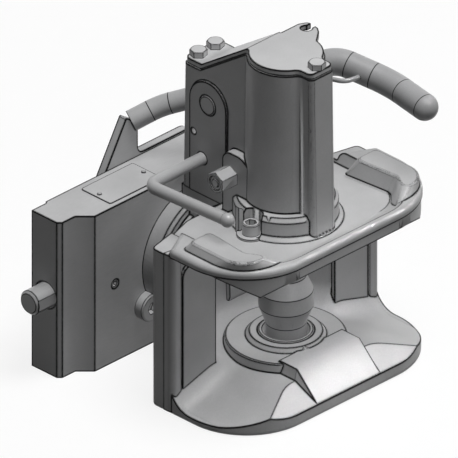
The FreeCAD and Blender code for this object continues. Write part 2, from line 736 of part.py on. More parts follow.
def front_wedges():
    """The steeper lead-in at the front of both jaws."""
    wide = JAW_HALF_WIDTH + 20
    inner = -PLATEAU_RADIUS + 1
    lip = JAW_FRONT + 2
    outer = JAW_FRONT - 20
    lower = prism([(inner, FLOOR_LEVEL, 0), (lip, FRONT_RIM_LOWER, 2), (outer, FRONT_RIM_LOWER, 0),
                   (outer, 0, 0),
                   (inner, 0, 0)], "yz", -wide, wide)
    upper = prism([(ROOF_FRONT, ROOF_LEVEL, 0), (lip, FRONT_RIM_UPPER, 2), (outer, FRONT_RIM_UPPER, 0),
                   (outer, 0, 0),
                   (ROOF_FRONT, 0, 0)], "yz", -wide, wide)
    return lower, upper


def front_ramp():
    """The straight ramp in the middle of the lower jaw that lifts the drawbar eye onto the plateau."""
    half = RAMP_HALF_WIDTH
    foot = RIM_LOWER - 2
    lip = JAW_FRONT + 2
    top = [(-half, RAMP_TOP, 0), (half, RAMP_TOP, 0), (half + 8, foot, 0), (-half - 8, foot, 0)]
    end = [(-half, FRONT_RIM_LOWER, 0), (half, FRONT_RIM_LOWER, 0), (half + 2, foot, 0),
           (-half - 2, foot, 0)]
    flat = prism(top, "xz", RAMP_TOP_Y, SEAT_BOSS_RADIUS - PLATEAU_RADIUS - 10)
    return flat.fuse(loft(end, top, "xz", lip, RAMP_TOP_Y))


def wall_pads():
    """The flat pads on the wall beside the throat and the rounded bead at each side of the mouth."""
    side = JAW_HALF_WIDTH
    face = WALL_FACE - WALL_PAD
    pad = prism([(68, RIM_LOWER, 0), (side - RIM_BEAD_WIDTH - 1, RIM_LOWER, 0), (side - RIM_BEAD_WIDTH - 1,
                                                                                 60, 10),
                 (68, 60, 0)], "xz", face, WALL_FACE + 1)
    inner = side - RIM_BEAD_WIDTH
    bead = prism([(inner, face + 8, 0), (inner, face, 2), (side, RIM_BEAD_FRONT, 5), (side, face + 10, 1)],
                 "xy", RIM_LOWER - 4, RIM_UPPER + 2)
    right = [pad, bead]
    return right + [mirrored(piece) for piece in right]


def jaw_plan(rear, inset=0.0):
    """Straight front, large round front corners, short sides and a slanted back."""
    side = JAW_HALF_WIDTH - inset
    front = JAW_FRONT + inset
    corner = JAW_CORNER - inset
    back = NECK_START + 4
    middle = (rear + back) / 2
    return [(-side, front, corner), (side, front, corner), (side, rear, 5), (86, middle, 14), (64, back, 8),
            (-64, back, 8), (-86, middle, 14), (-side, rear, 5)]


def rear_corner():
    """What is rounded off the right side wall's upper rear corner, down to nothing at the neck."""
    back = NECK_START + 4
    heights = (45.0, 50.0, 60.0, 69.0, 78.0, JAW_TOP + 2)
    fronts = (SIDE_REAR, SIDE_REAR - 1.6, SIDE_REAR - 4.4, SIDE_REAR - 8.4, TOP_REAR + 5, TOP_REAR - 4)
    outer = [(y, z, 0) for y, z in zip(fronts, heights)]
    inner = [(back, z, 0) for z in heights]
    far = [(back + 12, JAW_TOP + 2, 0), (back + 12, 45.0, 0)]
    return loft(inner + far, outer + far, "yz", 64, JAW_HALF_WIDTH + 1)


def jaw_shell():
    """The casting's outside, with rounded upper and lower edges."""
    band = JAW_TOP - 7.5
    lower = prism(jaw_plan(SIDE_REAR, 1.2), "xy", -CARRIAGE_HALF_HEIGHT, band)
    upper = prism(jaw_plan(TOP_REAR), "xy", band, JAW_TOP)
    bottom = edges_where(lower, lambda b: b.ZMax < 1 - CARRIAGE_HALF_HEIGHT and b.YMax < SIDE_REAR + 3)
    lower = lower.makeFillet(3.5, bottom)
    top = edges_where(upper, lambda b: b.ZMin > JAW_TOP - 0.1 and b.YMax < TOP_REAR + 3)
    upper = upper.makeFillet(4.5, top)
    corner = rear_corner()
    return lower.cut(corner).cut(mirrored(corner)).fuse(upper)


def top_recess():
    """The flat-floored recess in the upper jaw, flared upwards."""
    flare = 10.0
    rise = 24.0
    floor = [(-88, -50, 32), (88, -50, 32), (88, 70, 0), (-88, 70, 0)]
    front = -50 - rise * 1.8
    brim = [(-88 - flare, front, 52), (88 + flare, front, 52), (88 + flare, 70, 0), (-88 - flare, 70, 0)]
    return loft(floor, brim, "xy", RECESS_FLOOR, RECESS_FLOOR + rise)


def shoulder():
    """The raised shoulder over the right side of the mouth."""
    foot = [(52, -70, 2), (115.5, -70, 57), (115.5, 12, 4), (77, 12, 4), (82, -38, 12)]
    crown = [(78, -58, 5), (107, -58, 20), (107, 4, 6), (83, 4, 6), (87, -40, 6)]
    hump = loft(foot, crown, "xy", RECESS_FLOOR + 2, SHOULDER_TOP)
    return hump.makeFillet(SHOULDER_ROUND, edges_where(hump, lambda b: b.ZMin > SHOULDER_TOP - 0.1))


def neck():
    """The tapering neck between the jaws' back and the round flange."""
    ring = FLANGE_STEP_RADIUS - 3
    round_corner = ring * 0.999
    front = [(-62, -64, 16), (62, -64, 16), (62, 74, 16), (-62, 74, 16)]
    back = [(-ring, -ring, round_corner), (ring, -ring, round_corner), (ring, ring, round_corner),
            (-ring, ring, round_corner)]
    return loft(front, back, "xz", NECK_START, CARRIAGE_FRONT - FLANGE_THICK - FLANGE_STEP)


def flange_and_shank():
    """The flange disc with its step, the shank that passes through the carriage and the threaded end."""
    front = CARRIAGE_FRONT - FLANGE_THICK
    disc = turned([(0, 0), (FLANGE_STEP_RADIUS, 0), (FLANGE_STEP_RADIUS, FLANGE_STEP),
                   (FLANGE_RADIUS - 3, FLANGE_STEP), (FLANGE_RADIUS, FLANGE_STEP + 3),
                   (FLANGE_RADIUS, FLANGE_STEP + FLANGE_THICK), (SHANK_RADIUS, FLANGE_STEP + FLANGE_THICK),
                   (SHANK_RADIUS, SHANK_END - front + FLANGE_STEP),
                   (THREAD_RADIUS, SHANK_END - front + FLANGE_STEP),
                   (THREAD_RADIUS, THREAD_END - front + FLANGE_STEP - 2),
                   (THREAD_RADIUS - 2, THREAD_END - front + FLANGE_STEP),
                   (0, THREAD_END - front + FLANGE_STEP)],
                  V(0, front - FLANGE_STEP, 0), V(0, 1, 0))
    for side in (-1, 1):
        notch = rod_y(STOP_BOLT_HEAD_RADIUS + SEAT_GAP, front - 1, CARRIAGE_FRONT + 0.5, side * STOP_BOLT_X,
                      STOP_BOLT_Z)
        disc = disc.cut(notch)
    return disc.cut(rod_x(COTTER_RADIUS + 0.2, -THREAD_RADIUS - 1, THREAD_RADIUS + 1, cotter_y(), 0))


def tower_outline(grow, level):
    """Round in front, a narrow lug before it and a box behind it, mirrored about the middle."""
    box = TOWER_HALF_WIDTH + grow
    rear = TOWER_REAR + grow / 2
    radius = TOWER_RADIUS + grow
    lug = LUG_HALF_WIDTH + grow / 4
    front = LUG_FRONT - grow
    soft = 7.0
    tight = 4.0
    edge = 5.0
    slope = math.sqrt(0.5)
    y_soft = -math.sqrt((radius + soft) ** 2 - (lug + soft) ** 2)
    y_tight = math.sqrt((radius + tight) ** 2 - (box + tight) ** 2)
    to_soft = V(lug + soft, y_soft, 0).normalize()
    to_tight = V(box + tight, y_tight, 0).normalize()
    turn_soft = (to_soft + V(1, 0, 0)).normalize()
    turn_tight = (to_tight + V(1, 0, 0)).normalize()
    steps = [
        (lug - edge, front, None),
        (lug, front + edge, (lug - edge + edge * slope, front + edge - edge * slope)),
        (lug, y_soft, None),
        (to_soft.x * radius, to_soft.y * radius, (lug + soft - soft * turn_soft.x,
                                                  y_soft - soft * turn_soft.y)),
        (to_tight.x * radius, to_tight.y * radius, (radius, 0.0)),
        (box, y_tight, (box + tight - tight * turn_tight.x, y_tight - tight * turn_tight.y)),
        (box, rear - edge, None),
        (box - edge, rear, (box - edge + edge * slope, rear - edge + edge * slope)),
    ]
    edges = []
    for side in (1, -1):
        for before, after in zip(steps, steps[1:]):
            start = V(side * before[0], before[1], level)
            end = V(side * after[0], after[1], level)
            if after[2] is None:
                edges.append(Part.makeLine(start, end))
            else:
                edges.append(Part.Arc(start, V(side * after[2][0], after[2][1], level), end).toShape())
    for x, y in ((steps[0][0], steps[0][1]), (steps[-1][0], steps[-1][1])):
        edges.append(Part.makeLine(V(-x, y, level), V(x, y, level)))
    return Part.Wire(Part.__sortEdges__(edges))


def tower_blank(inset=0.0):
    top = TOWER_TOP + COVER_THICK + 10
    wires = [tower_outline(TOWER_DRAFT - inset, TOWER_BASE), tower_outline(-inset, top)]
    return Part.makeLoft(wires, True, True)


def below_top(lift):
    """Everything under the tower's stepped and sloping top, raised by lift."""
    reach = 150.0
    return prism([(TOWER_REAR + 20, -100, 0), (TOWER_REAR + 20, TOWER_REAR_TOP + lift, 0),
                  (TOWER_REAR_FLAT, TOWER_REAR_TOP + lift, 0), (TOWER_CREASE, TOWER_TOP + lift, 0),
                  (LUG_FRONT - 20, TOWER_TOP + lift, 0), (LUG_FRONT - 20, -100, 0)], "yz", -reach, reach)


def arch_pad():
    """The raised arch on the tower's left face round the latch shaft."""
    face = -TOWER_HALF_WIDTH - PAD_PROUD - TOWER_DRAFT / 2
    y0 = LATCH_Y - PAD_RADIUS
    y1 = LATCH_Y + PAD_RADIUS
    reach = PAD_RADIUS * 0.999
    return prism([(y0, TOWER_BASE, 0), (y1, TOWER_BASE, 0), (y1, LATCH_Z + PAD_RADIUS, reach),
                  (y0, LATCH_Z + PAD_RADIUS, reach)], "yz", face, -TOWER_HALF_WIDTH + 3)


def side_boss():
    """The flat boss for the hexagon plug, rounded at its top."""
    return prism([(SIDE_BOSS_FRONT, TOWER_BASE, 0), (SIDE_BOSS_REAR, TOWER_BASE, 0),
                  (SIDE_BOSS_REAR, SIDE_BOSS_TOP, 9), (SIDE_BOSS_FRONT, SIDE_BOSS_TOP, 14)],
                 "yz", SIDE_BOSS_FACE, -TOWER_HALF_WIDTH + 3)


def tower():
    body = tower_blank().common(below_top(0))
    half = TOWER_HALF_WIDTH + TOWER_DRAFT - 0.5
    root = block(-half, half, NECK_START, TOWER_REAR + TOWER_DRAFT / 2, ROOF_LEVEL + 2, TOWER_BASE + 1)
    ring = turned([(0, 0), (BASE_RING_RADIUS + 4, 0), (BASE_RING_RADIUS, 4),
                   (BASE_RING_RADIUS, BASE_RING_TOP - 76),
                   (BASE_RING_RADIUS - 3, BASE_RING_TOP - 72), (0, BASE_RING_TOP - 72)],
                  V(0, 0, RECESS_FLOOR), V(0, 0, 1))
    return body.fuse([root, ring, arch_pad(), side_boss()])


def chamber():
    """The room for the lift arm and the latch, open upwards under the cover, and its openings."""
    room = prism([(CHAMBER_FRONT, CHAMBER_FLOOR, 0), (CHAMBER_REAR, CHAMBER_FLOOR, 0),
                  (CHAMBER_REAR, TOWER_TOP + 1, 0),
                  (CHAMBER_FRONT, TOWER_TOP + 1, 0)], "yz", -CHAMBER_HALF_WIDTH, CHAMBER_HALF_WIDTH)
    window_half = ARM_HALF_THICK + 2.5
    low = arm_tip_height() - ARM_TIP_RADIUS - 5
    window = block(-window_half, window_half, 0, CHAMBER_FRONT + 20, low, low + PIN_LIFT + 22)
    drop = block(-FLAP_HALF_WIDTH - 1, FLAP_HALF_WIDTH + 1, 40, FLAP_Y + 9, ROOF_LEVEL - 14,
                 CHAMBER_FLOOR + 1)
    return room.fuse([window, drop])


def make_jaw():
    body = jaw_shell().fuse(neck()).cut(top_recess())
    body = body.fuse([shoulder(), mirrored(shoulder())])
    lower_wedge, upper_wedge = front_wedges()
    body = body.cut(mouth_space()).cut(lower_wedge).cut(upper_wedge)
    plateau = turned([(0, 0), (PLATEAU_RADIUS + 1, 0), (PLATEAU_RADIUS, PLATEAU_TOP - RIM_LOWER - 1),
                      (PLATEAU_RADIUS - 1, PLATEAU_TOP - RIM_LOWER),
                      (SEAT_BOSS_RADIUS + 1, PLATEAU_TOP - RIM_LOWER),
                      (SEAT_BOSS_RADIUS - 2, SEAT_BOSS_TOP - RIM_LOWER), (0, SEAT_BOSS_TOP - RIM_LOWER)],
                     V(0, 0, RIM_LOWER), V(0, 0, 1))
    body = body.fuse(wall_pads() + [plateau, front_ramp(), tower(), flange_and_shank()])
    tools = [
        rod_z(SEAT_BUSH_RADIUS + SCREW_FIT, -CARRIAGE_HALF_HEIGHT - 1, SEAT_BOSS_TOP + 1),
        rod_z(PIN_RADIUS + RUN_FIT, ROOF_LEVEL - 10, TOWER_TOP + 1),
        rod_z(PIN_RADIUS + BUSH_WALL + SCREW_FIT, ROOF_LEVEL - 10, ROOF_LEVEL + GUIDE_BUSH_LENGTH),
        chamber(),
        rod_x(ROD_RADIUS + RUN_FIT, -40, TOWER_HALF_WIDTH + 5, LIFT_Y, LIFT_Z),
        rod_x(LATCH_SHAFT_RADIUS + RUN_FIT, -40, 17.2, LATCH_Y, LATCH_Z),
        rod_x(FLAP_PIN_RADIUS + RUN_FIT, -18.2, 18.2, FLAP_Y, FLAP_Z),
        rod_x(PLUG_STEM_RADIUS + SCREW_FIT, SIDE_BOSS_FACE - 1, -CHAMBER_HALF_WIDTH - 1, PLUG_Y, PLUG_Z),
        rod_x(2.75, -40, -CHAMBER_HALF_WIDTH - 1, LATCH_Y + 16.3, LATCH_Z - 30.5),
        rod_z(CAP_SCREW_RADIUS + SCREW_FIT, RECESS_FLOOR - 16, RECESS_FLOOR + 1, cap_screw_x(),
              CAP_SCREW_Y),
        rod_z(CAP_POCKET_RADIUS, RECESS_FLOOR, BASE_RING_TOP + 1, cap_screw_x(), CAP_SCREW_Y),
    ]
    for x, y in COVER_BOLTS:
        seat = TOWER_TOP if y < TOWER_CREASE else TOWER_REAR_TOP
        tools.append(rod_z(COVER_BOLT_RADIUS + SCREW_FIT, seat - COVER_BOLT_LENGTH - 1, seat + 1, x, y))
    for tool in tools:
        body = body.cut(tool)
    return body.removeSplitter()


# Nut, washer and cotter behind the carriage

def cotter_y():
    return BOSS_BACK + WASHER_THICK + NUT_HEIGHT - NUT_SLOT_DEPTH / 2


def make_washer():
    return rod_y(WASHER_RADIUS, BOSS_BACK, BOSS_BACK + WASHER_THICK, 0, 0).cut(
        rod_y(THREAD_RADIUS + 0.3, BOSS_BACK - 1, BOSS_BACK + WASHER_THICK + 1, 0, 0))


def make_nut():
    y0 = BOSS_BACK + WASHER_THICK
    nut = chamfered_hexagon(NUT_FLATS, "xz", y0, y0 + NUT_HEIGHT, 0, 0)
    nut = nut.cut(rod_y(THREAD_RADIUS + SCREW_FIT, y0 - 1, y0 + NUT_HEIGHT + 1, 0, 0))
    for i in range(3):
        slot = block(-NUT_FLATS, NUT_FLATS, y0 + NUT_HEIGHT - NUT_SLOT_DEPTH, y0 + NUT_HEIGHT + 1,
                     -NUT_SLOT_WIDTH / 2, NUT_SLOT_WIDTH / 2)
        slot.rotate(V(0, 0, 0), V(0, 1, 0), 60 * i)
        nut = nut.cut(slot)
    return nut


def make_cotter():
    """A split pin: a round eye, a straight stem through the nut and two ends bent apart."""
    reach = NUT_FLATS / 2 + 6
    y = cotter_y()
    stem = rod_x(COTTER_RADIUS, -reach, reach - 3, y, 0)
    thick = COTTER_RADIUS * 0.8
    eye = rod_y(4.0 + thick, y - thick, y + thick, -reach - 3.2, 0).cut(rod_y(4.0 - thick, y - 5, y + 5,
                                                                              -reach - 3.2, 0))
    legs = [Part.makeCylinder(COTTER_RADIUS * 0.55, 12, V(reach - 4, y, 0),
                              V(0.6, 0, turn)) for turn in (-1, 1)]
    return stem.fuse([eye] + legs).removeSplitter()


# Coupling pin and what guides it

def arm_tip_height():
    """Height of the lift arm's tip with the pin down: the arm swings evenly about level."""
    return LIFT_Z - PIN_LIFT / 2


def make_coupling_pin():
    """The crowned pin: seat end, belly, waist, and a hollow guide end with a slot for the lift arm."""
    profile = [(0, PIN_TIP), (PIN_TIP_RADIUS - 4, PIN_TIP), (PIN_TIP_RADIUS, PIN_TIP + 6),
               (PIN_TIP_RADIUS, -26.6),
               (PIN_RADIUS, -10.9), (PIN_RADIUS, 3.3), (PIN_NECK_RADIUS, 17.0),
               (PIN_NECK_RADIUS, ROOF_LEVEL - 8),
               (PIN_RADIUS, ROOF_LEVEL - 2), (PIN_RADIUS, PIN_TOP - 2), (PIN_RADIUS - 2, PIN_TOP),
               (PIN_SPRING_BORE, PIN_TOP), (PIN_SPRING_BORE, PIN_SPRING_SEAT), (0, PIN_SPRING_SEAT)]
    pin = turned(profile, V(0, 0, 0), V(0, 0, 1))
    gap = ARM_TIP_RADIUS + ARM_SLOT_GAP
    z = arm_tip_height()
    half = ARM_HALF_THICK + 2
    wide = gap + (PIN_RADIUS - 5) * ARM_SLOT_FLARE
    slot = prism([(-12, z - gap, 0), (7, z - gap, 0), (PIN_RADIUS + 2, z - wide, 0),
                  (PIN_RADIUS + 2, z + wide, 0),
                  (7, z + gap, 0), (-12, z + gap, 0)], "yz", -half, half)
    return pin.cut(slot)


def make_seat_bush():
    """The replaceable ring in the lower jaw that the pin's end drops into."""
    bore = PIN_TIP_RADIUS + RUN_FIT
    bottom = -CARRIAGE_HALF_HEIGHT + 4
    return turned([(bore, bottom), (SEAT_BUSH_RADIUS, bottom), (SEAT_BUSH_RADIUS, SEAT_BUSH_TOP - 1),
                   (SEAT_BUSH_RADIUS - 1, SEAT_BUSH_TOP), (19.5, SEAT_BUSH_TOP), (bore, SEAT_BUSH_TOP - 4)],
                  V(0, 0, 0), V(0, 0, 1))


def make_guide_bush():
    """The ring in the upper jaw that guides the pin."""
    inner = PIN_RADIUS + RUN_FIT
    outer = inner + BUSH_WALL - RUN_FIT
    return rod_z(outer, ROOF_LEVEL, ROOF_LEVEL + GUIDE_BUSH_LENGTH).cut(
        rod_z(inner, ROOF_LEVEL - 1, ROOF_LEVEL + GUIDE_BUSH_LENGTH + 1))


def make_closing_spring():
    spring = coil(CLOSING_SPRING_RADIUS - CLOSING_SPRING_WIRE, CLOSING_SPRING_WIRE, CLOSING_SPRING_TURNS,
                  TOWER_TOP - PIN_SPRING_SEAT - 0.2)
    spring.translate(V(0, 0, PIN_SPRING_SEAT + 0.1))
    return spring


# Tower cover

def make_cover():
    """The bolted plate that follows the tower's top, with the cable ear on its right side."""
    plate = tower_blank(COVER_INSET).common(below_top(COVER_THICK)).cut(below_top(0))
    top = TOWER_TOP + COVER_THICK
    ear = prism([(15, 25, 0), (39, 25, 3), (47.5, 21, 5), (45.6, 9, 4), (42, 4, 2), (27, -8, 0),
                 (15, -8, 0)],
                "xy", TOWER_TOP, top)
    ear = ear.cut(rod_z(4.65, TOWER_TOP - 1, top + 1, 39, 15.5)).cut(
        block(39, 55, 12.5, 18.5, TOWER_TOP - 1, top + 1))
    plate = plate.fuse(ear).removeSplitter()
    for x, y in COVER_BOLTS:
        plate = plate.cut(rod_z(COVER_BOLT_RADIUS + 0.5, TOWER_REAR_TOP - 20, top + 1, x, y))
    return plate


def make_cover_bolts():
    bolts = []
    for x, y in COVER_BOLTS:
        seat = (TOWER_TOP if y < TOWER_CREASE else TOWER_REAR_TOP) + COVER_THICK
        head = chamfered_hexagon(COVER_BOLT_FLATS, "xy", seat, seat + COVER_BOLT_HEAD, x, y, 15)
        bolts.append(head.fuse(rod_z(COVER_BOLT_RADIUS, seat - COVER_THICK - COVER_BOLT_LENGTH, seat, x,
                                     y)))
    return bolts


# Hand lever and lift arm

def make_hand_lever():
    """A round rod through the tower, bent to a handle that ends in a ball."""
    points = [(TOWER_HALF_WIDTH + 0.5, LIFT_Y, LIFT_Z), (ROD_SIDE, LIFT_Y, LIFT_Z),
              (ROD_SIDE, ROD_BALL_Y, ROD_BALL_Z)]
    rod = pipe(points, [ROD_BEND], ROD_RADIUS)
    return rod.fuse(Part.makeSphere(ROD_BALL_RADIUS, V(ROD_SIDE, ROD_BALL_Y, ROD_BALL_Z)))


def arm_direction():
    """Unit vector of the lift arm at rest, in Y and Z."""
    drop = PIN_LIFT / 2 / ARM_REACH
    return -math.sqrt(1 - drop * drop), -drop


def tapered_arm(y0, z0, r0, y1, z1, r1, x0, x1):
    """A flat link that narrows from one round end to the other."""
    length = math.hypot(y1 - y0, z1 - z0)
    lean = math.asin((r0 - r1) / length)
    along = math.atan2(z1 - z0, y1 - y0)
    corners = []
    for turn, y, z, r in ((math.pi / 2 - lean, y0, z0, r0), (math.pi / 2 - lean, y1, z1, r1),
                          (lean - math.pi / 2, y1, z1, r1), (lean - math.pi / 2, y0, z0, r0)):
        corners.append((y + r * math.cos(along + turn), z + r * math.sin(along + turn), 0))
    web = prism(corners, "yz", x0, x1)
    return web.fuse([rod_x(r0, x0, x1, y0, z0), rod_x(r1, x0, x1, y1, z1)]).removeSplitter()


def make_lift_arm():
    """The arm on the hand lever's rod: hub, tapered arm to the pin's slot, and a stud for the latch."""
    dy, dz = arm_direction()
    tip_y = LIFT_Y + dy * ARM_REACH
    tip_z = LIFT_Z + dz * ARM_REACH
    arm = tapered_arm(LIFT_Y, LIFT_Z, ARM_HUB_RADIUS - 1.5, tip_y, tip_z, ARM_TIP_RADIUS, -ARM_HALF_THICK,
                      ARM_HALF_THICK)
    hub = rod_x(ARM_HUB_RADIUS, -ARM_HALF_THICK - 2, ARM_HALF_THICK + 2, LIFT_Y, LIFT_Z)
    stud = rod_x(STUD_RADIUS, 0, STUD_END, LIFT_Y + dy * STUD_REACH, LIFT_Z + dz * STUD_REACH)
    arm = arm.fuse([hub, stud])
    return arm.cut(rod_x(ROD_RADIUS + 0.02, -20, 20, LIFT_Y, LIFT_Z)).removeSplitter()


# Latch that holds the pin up, and the trigger flap that lets it go

def sector(inner, outer, from_deg, to_deg, x0, x1):
    """Part of a ring about the hand lever's axis."""
    ring = rod_x(outer, x0, x1, LIFT_Y, LIFT_Z).cut(rod_x(inner, x0, x1, LIFT_Y, LIFT_Z))
    reach = outer * 2
    corners = [(LIFT_Y, LIFT_Z, 0)]
    for angle in (from_deg, (from_deg + to_deg) / 2, to_deg):
        corners.append((LIFT_Y + reach * math.cos(math.radians(angle)),
                        LIFT_Z + reach * math.sin(math.radians(angle)), 0))
    return ring.common(prism(corners, "yz", x0, x1))


def make_latch_pawl():
    """Hub, hook beside the lift arm and a tail down to the flap, all one forging."""
    hub = rod_x(LATCH_HUB_RADIUS, 4.5, 13, LATCH_Y, LATCH_Z)
    hook = sector(HOOK_INNER, HOOK_OUTER, 108, 154, 5, 9)
    nose = sector(HOOK_NOSE, HOOK_OUTER, 147.5, 154, 5, 9)
    bridge = prism([(LATCH_Y, LATCH_Z - 11, 0), (LATCH_Y, LATCH_Z + 6, 0), (LATCH_Y - 16.7, LATCH_Z - 5.5,
                                                                            0),
                    (LATCH_Y - 17.7, LATCH_Z - 12.5, 0)], "yz", 5, 9)
    pin_y = FLAP_Y
    pin_z = FLAP_Z + FLAP_TAIL
    tail = prism([(LATCH_Y - 8, LATCH_Z - 6, 0), (LATCH_Y + 8, LATCH_Z - 6, 0),
                  (pin_y + 2.2, LATCH_Z - 31.5, 6),
                  (pin_y + 1.4, pin_z + 12, 6), (pin_y + 6.5, pin_z + 2, 3), (pin_y + 6.5, pin_z - 7, 3),
                  (pin_y - 6.5, pin_z - 7, 3), (pin_y - 6.5, pin_z + 2, 3), (pin_y - 5.2, pin_z + 12, 6),
                  (pin_y - 4.6, LATCH_Z - 31.5, 6)], "yz", 10, 13)
    gap = TAIL_PIN_RADIUS + 0.3
    slot = prism([(pin_y - gap, pin_z - gap - 1, gap - 0.1), (pin_y + gap, pin_z - gap - 1, gap - 0.1),
                  (pin_y + gap, pin_z + gap + 1, gap - 0.1), (pin_y - gap, pin_z + gap + 1, gap - 0.1)],
                  "yz", 9, 14)
    pawl = hub.fuse([hook, nose, bridge, tail]).cut(slot)
    return pawl.cut(rod_x(LATCH_SHAFT_RADIUS + 0.02, 0, 20, LATCH_Y, LATCH_Z)).removeSplitter()


def make_latch_shaft():
    """The latch's shaft, whose chamfered end shows in the arch on the tower's left face."""
    end = -TOWER_HALF_WIDTH - PAD_PROUD - TOWER_DRAFT / 2 - 0.8
    return turned([(0, 0), (LATCH_SHAFT_RADIUS - 1, 0), (LATCH_SHAFT_RADIUS, 1),
                   (LATCH_SHAFT_RADIUS, 17 - end),
                   (0, 17 - end)], V(end, LATCH_Y, LATCH_Z), V(1, 0, 0))


def make_flap():
    """The plate at the back of the throat that the drawbar eye pushes, with its hinge barrel and tail."""
    plate = prism([(FLAP_Y - 7, FLAP_Z, 0), (50, FLAP_BOTTOM + 4, 0), (51.5, FLAP_BOTTOM, 0),
                   (54, FLAP_BOTTOM, 0),
                   (54.5, FLAP_BOTTOM + 6, 0), (FLAP_Y - 1, FLAP_Z, 0)], "yz", -FLAP_HALF_WIDTH,
                   FLAP_HALF_WIDTH)
    trim = prism([(-FLAP_HALF_WIDTH - 1, FLAP_BOTTOM - 1, 0), (FLAP_HALF_WIDTH + 1, FLAP_BOTTOM - 1, 0),
                  (FLAP_HALF_WIDTH + 1, FLAP_Z + 1, 0), (-FLAP_HALF_WIDTH + 4, FLAP_Z + 1, 0)], "xz", 40,
                  70)
    plate = plate.common(trim)
    barrel = rod_x(FLAP_BARREL_RADIUS, -FLAP_HALF_WIDTH, FLAP_HALF_WIDTH, FLAP_Y, FLAP_Z)
    tail = tapered_arm(FLAP_Y, FLAP_Z, 7, FLAP_Y, FLAP_Z + FLAP_TAIL, 5, 6.5, 9.5)
    pin = rod_x(TAIL_PIN_RADIUS, 6.5, 13.4, FLAP_Y, FLAP_Z + FLAP_TAIL)
    flap = barrel.fuse([plate, tail, pin])
    return flap.cut(rod_x(FLAP_PIN_RADIUS + RUN_FIT, -20, 20, FLAP_Y, FLAP_Z)).removeSplitter()


def make_flap_pin():
    return rod_x(FLAP_PIN_RADIUS, -18, 18, FLAP_Y, FLAP_Z)


# Small pieces on the tower and jaw

def make_side_plug():
    """A long hexagon plug with a recessed round end, screwed into the side boss."""
    head = chamfered_hexagon(PLUG_FLATS, "yz", SIDE_BOSS_FACE, SIDE_BOSS_FACE - PLUG_LENGTH, PLUG_Y, PLUG_Z,
                             90)
    end = SIDE_BOSS_FACE - PLUG_LENGTH
    recess = rod_x(6.2, end - 1, end + 1.2, PLUG_Y, PLUG_Z).cut(rod_x(3.6, end - 1, end + 2, PLUG_Y,
                                                                      PLUG_Z))
    stem = rod_x(PLUG_STEM_RADIUS, SIDE_BOSS_FACE, -CHAMBER_HALF_WIDTH - 1.5, PLUG_Y, PLUG_Z)
    return head.cut(recess).fuse(stem).removeSplitter()


def cap_screw_x():
    """X of the cap screw, just outside the tower's base ring."""
    return -math.sqrt((BASE_RING_RADIUS + CAP_SCREW_OUT) ** 2 - CAP_SCREW_Y ** 2)


def make_clip():
    """The sheet clip under the cap screw: a round foot and an upright tab with a slanted top."""
    foot = rod_z(12, RECESS_FLOOR, RECESS_FLOOR + CLIP_THICK, cap_screw_x(), CAP_SCREW_Y).cut(
        rod_z(BASE_RING_RADIUS + 4.2, RECESS_FLOOR - 1, RECESS_FLOOR + 40))
    foot = foot.fuse(rod_z(CAP_POCKET_RADIUS - 0.2, RECESS_FLOOR, RECESS_FLOOR + CLIP_THICK, cap_screw_x(),
                           CAP_SCREW_Y))
    foot = foot.cut(rod_z(CAP_SCREW_RADIUS + 0.4, RECESS_FLOOR - 1, RECESS_FLOOR + 5, cap_screw_x(),
                          CAP_SCREW_Y))
    back = CAP_SCREW_Y + 9.0
    tab = prism([(cap_screw_x() - 5, RECESS_FLOOR, 0), (cap_screw_x() + 7, RECESS_FLOOR, 0),
                 (cap_screw_x() + 7, RECESS_FLOOR + 16, 0), (cap_screw_x() - 5, RECESS_FLOOR + 24, 0)],
                "xz", back, back + 4)
    tab = tab.cut(rod_z(BASE_RING_RADIUS + 0.2, RECESS_FLOOR - 1, RECESS_FLOOR + 40)).cut(
        Part.makeCone(BASE_RING_RADIUS + 4.2, BASE_RING_RADIUS, 4.2, V(0, 0, RECESS_FLOOR), V(0, 0, 1)))
    return foot.fuse(tab).removeSplitter()


def make_cap_screw():
    seat = RECESS_FLOOR + CLIP_THICK
    head = rod_z(CAP_SCREW_HEAD_RADIUS, seat, seat + CAP_SCREW_HEAD, cap_screw_x(), CAP_SCREW_Y)
    rim = edges_where(head, lambda b: b.ZMin > seat + CAP_SCREW_HEAD - 0.1)
    head = head.makeChamfer(0.8, rim)
    head = head.cut(hexagon(CAP_SCREW_SOCKET, "xy", seat + 4, seat + CAP_SCREW_HEAD + 1, cap_screw_x(),
                            CAP_SCREW_Y))
    return head.fuse(rod_z(CAP_SCREW_RADIUS, RECESS_FLOOR - 15, seat, cap_screw_x(),
                           CAP_SCREW_Y)).removeSplitter()


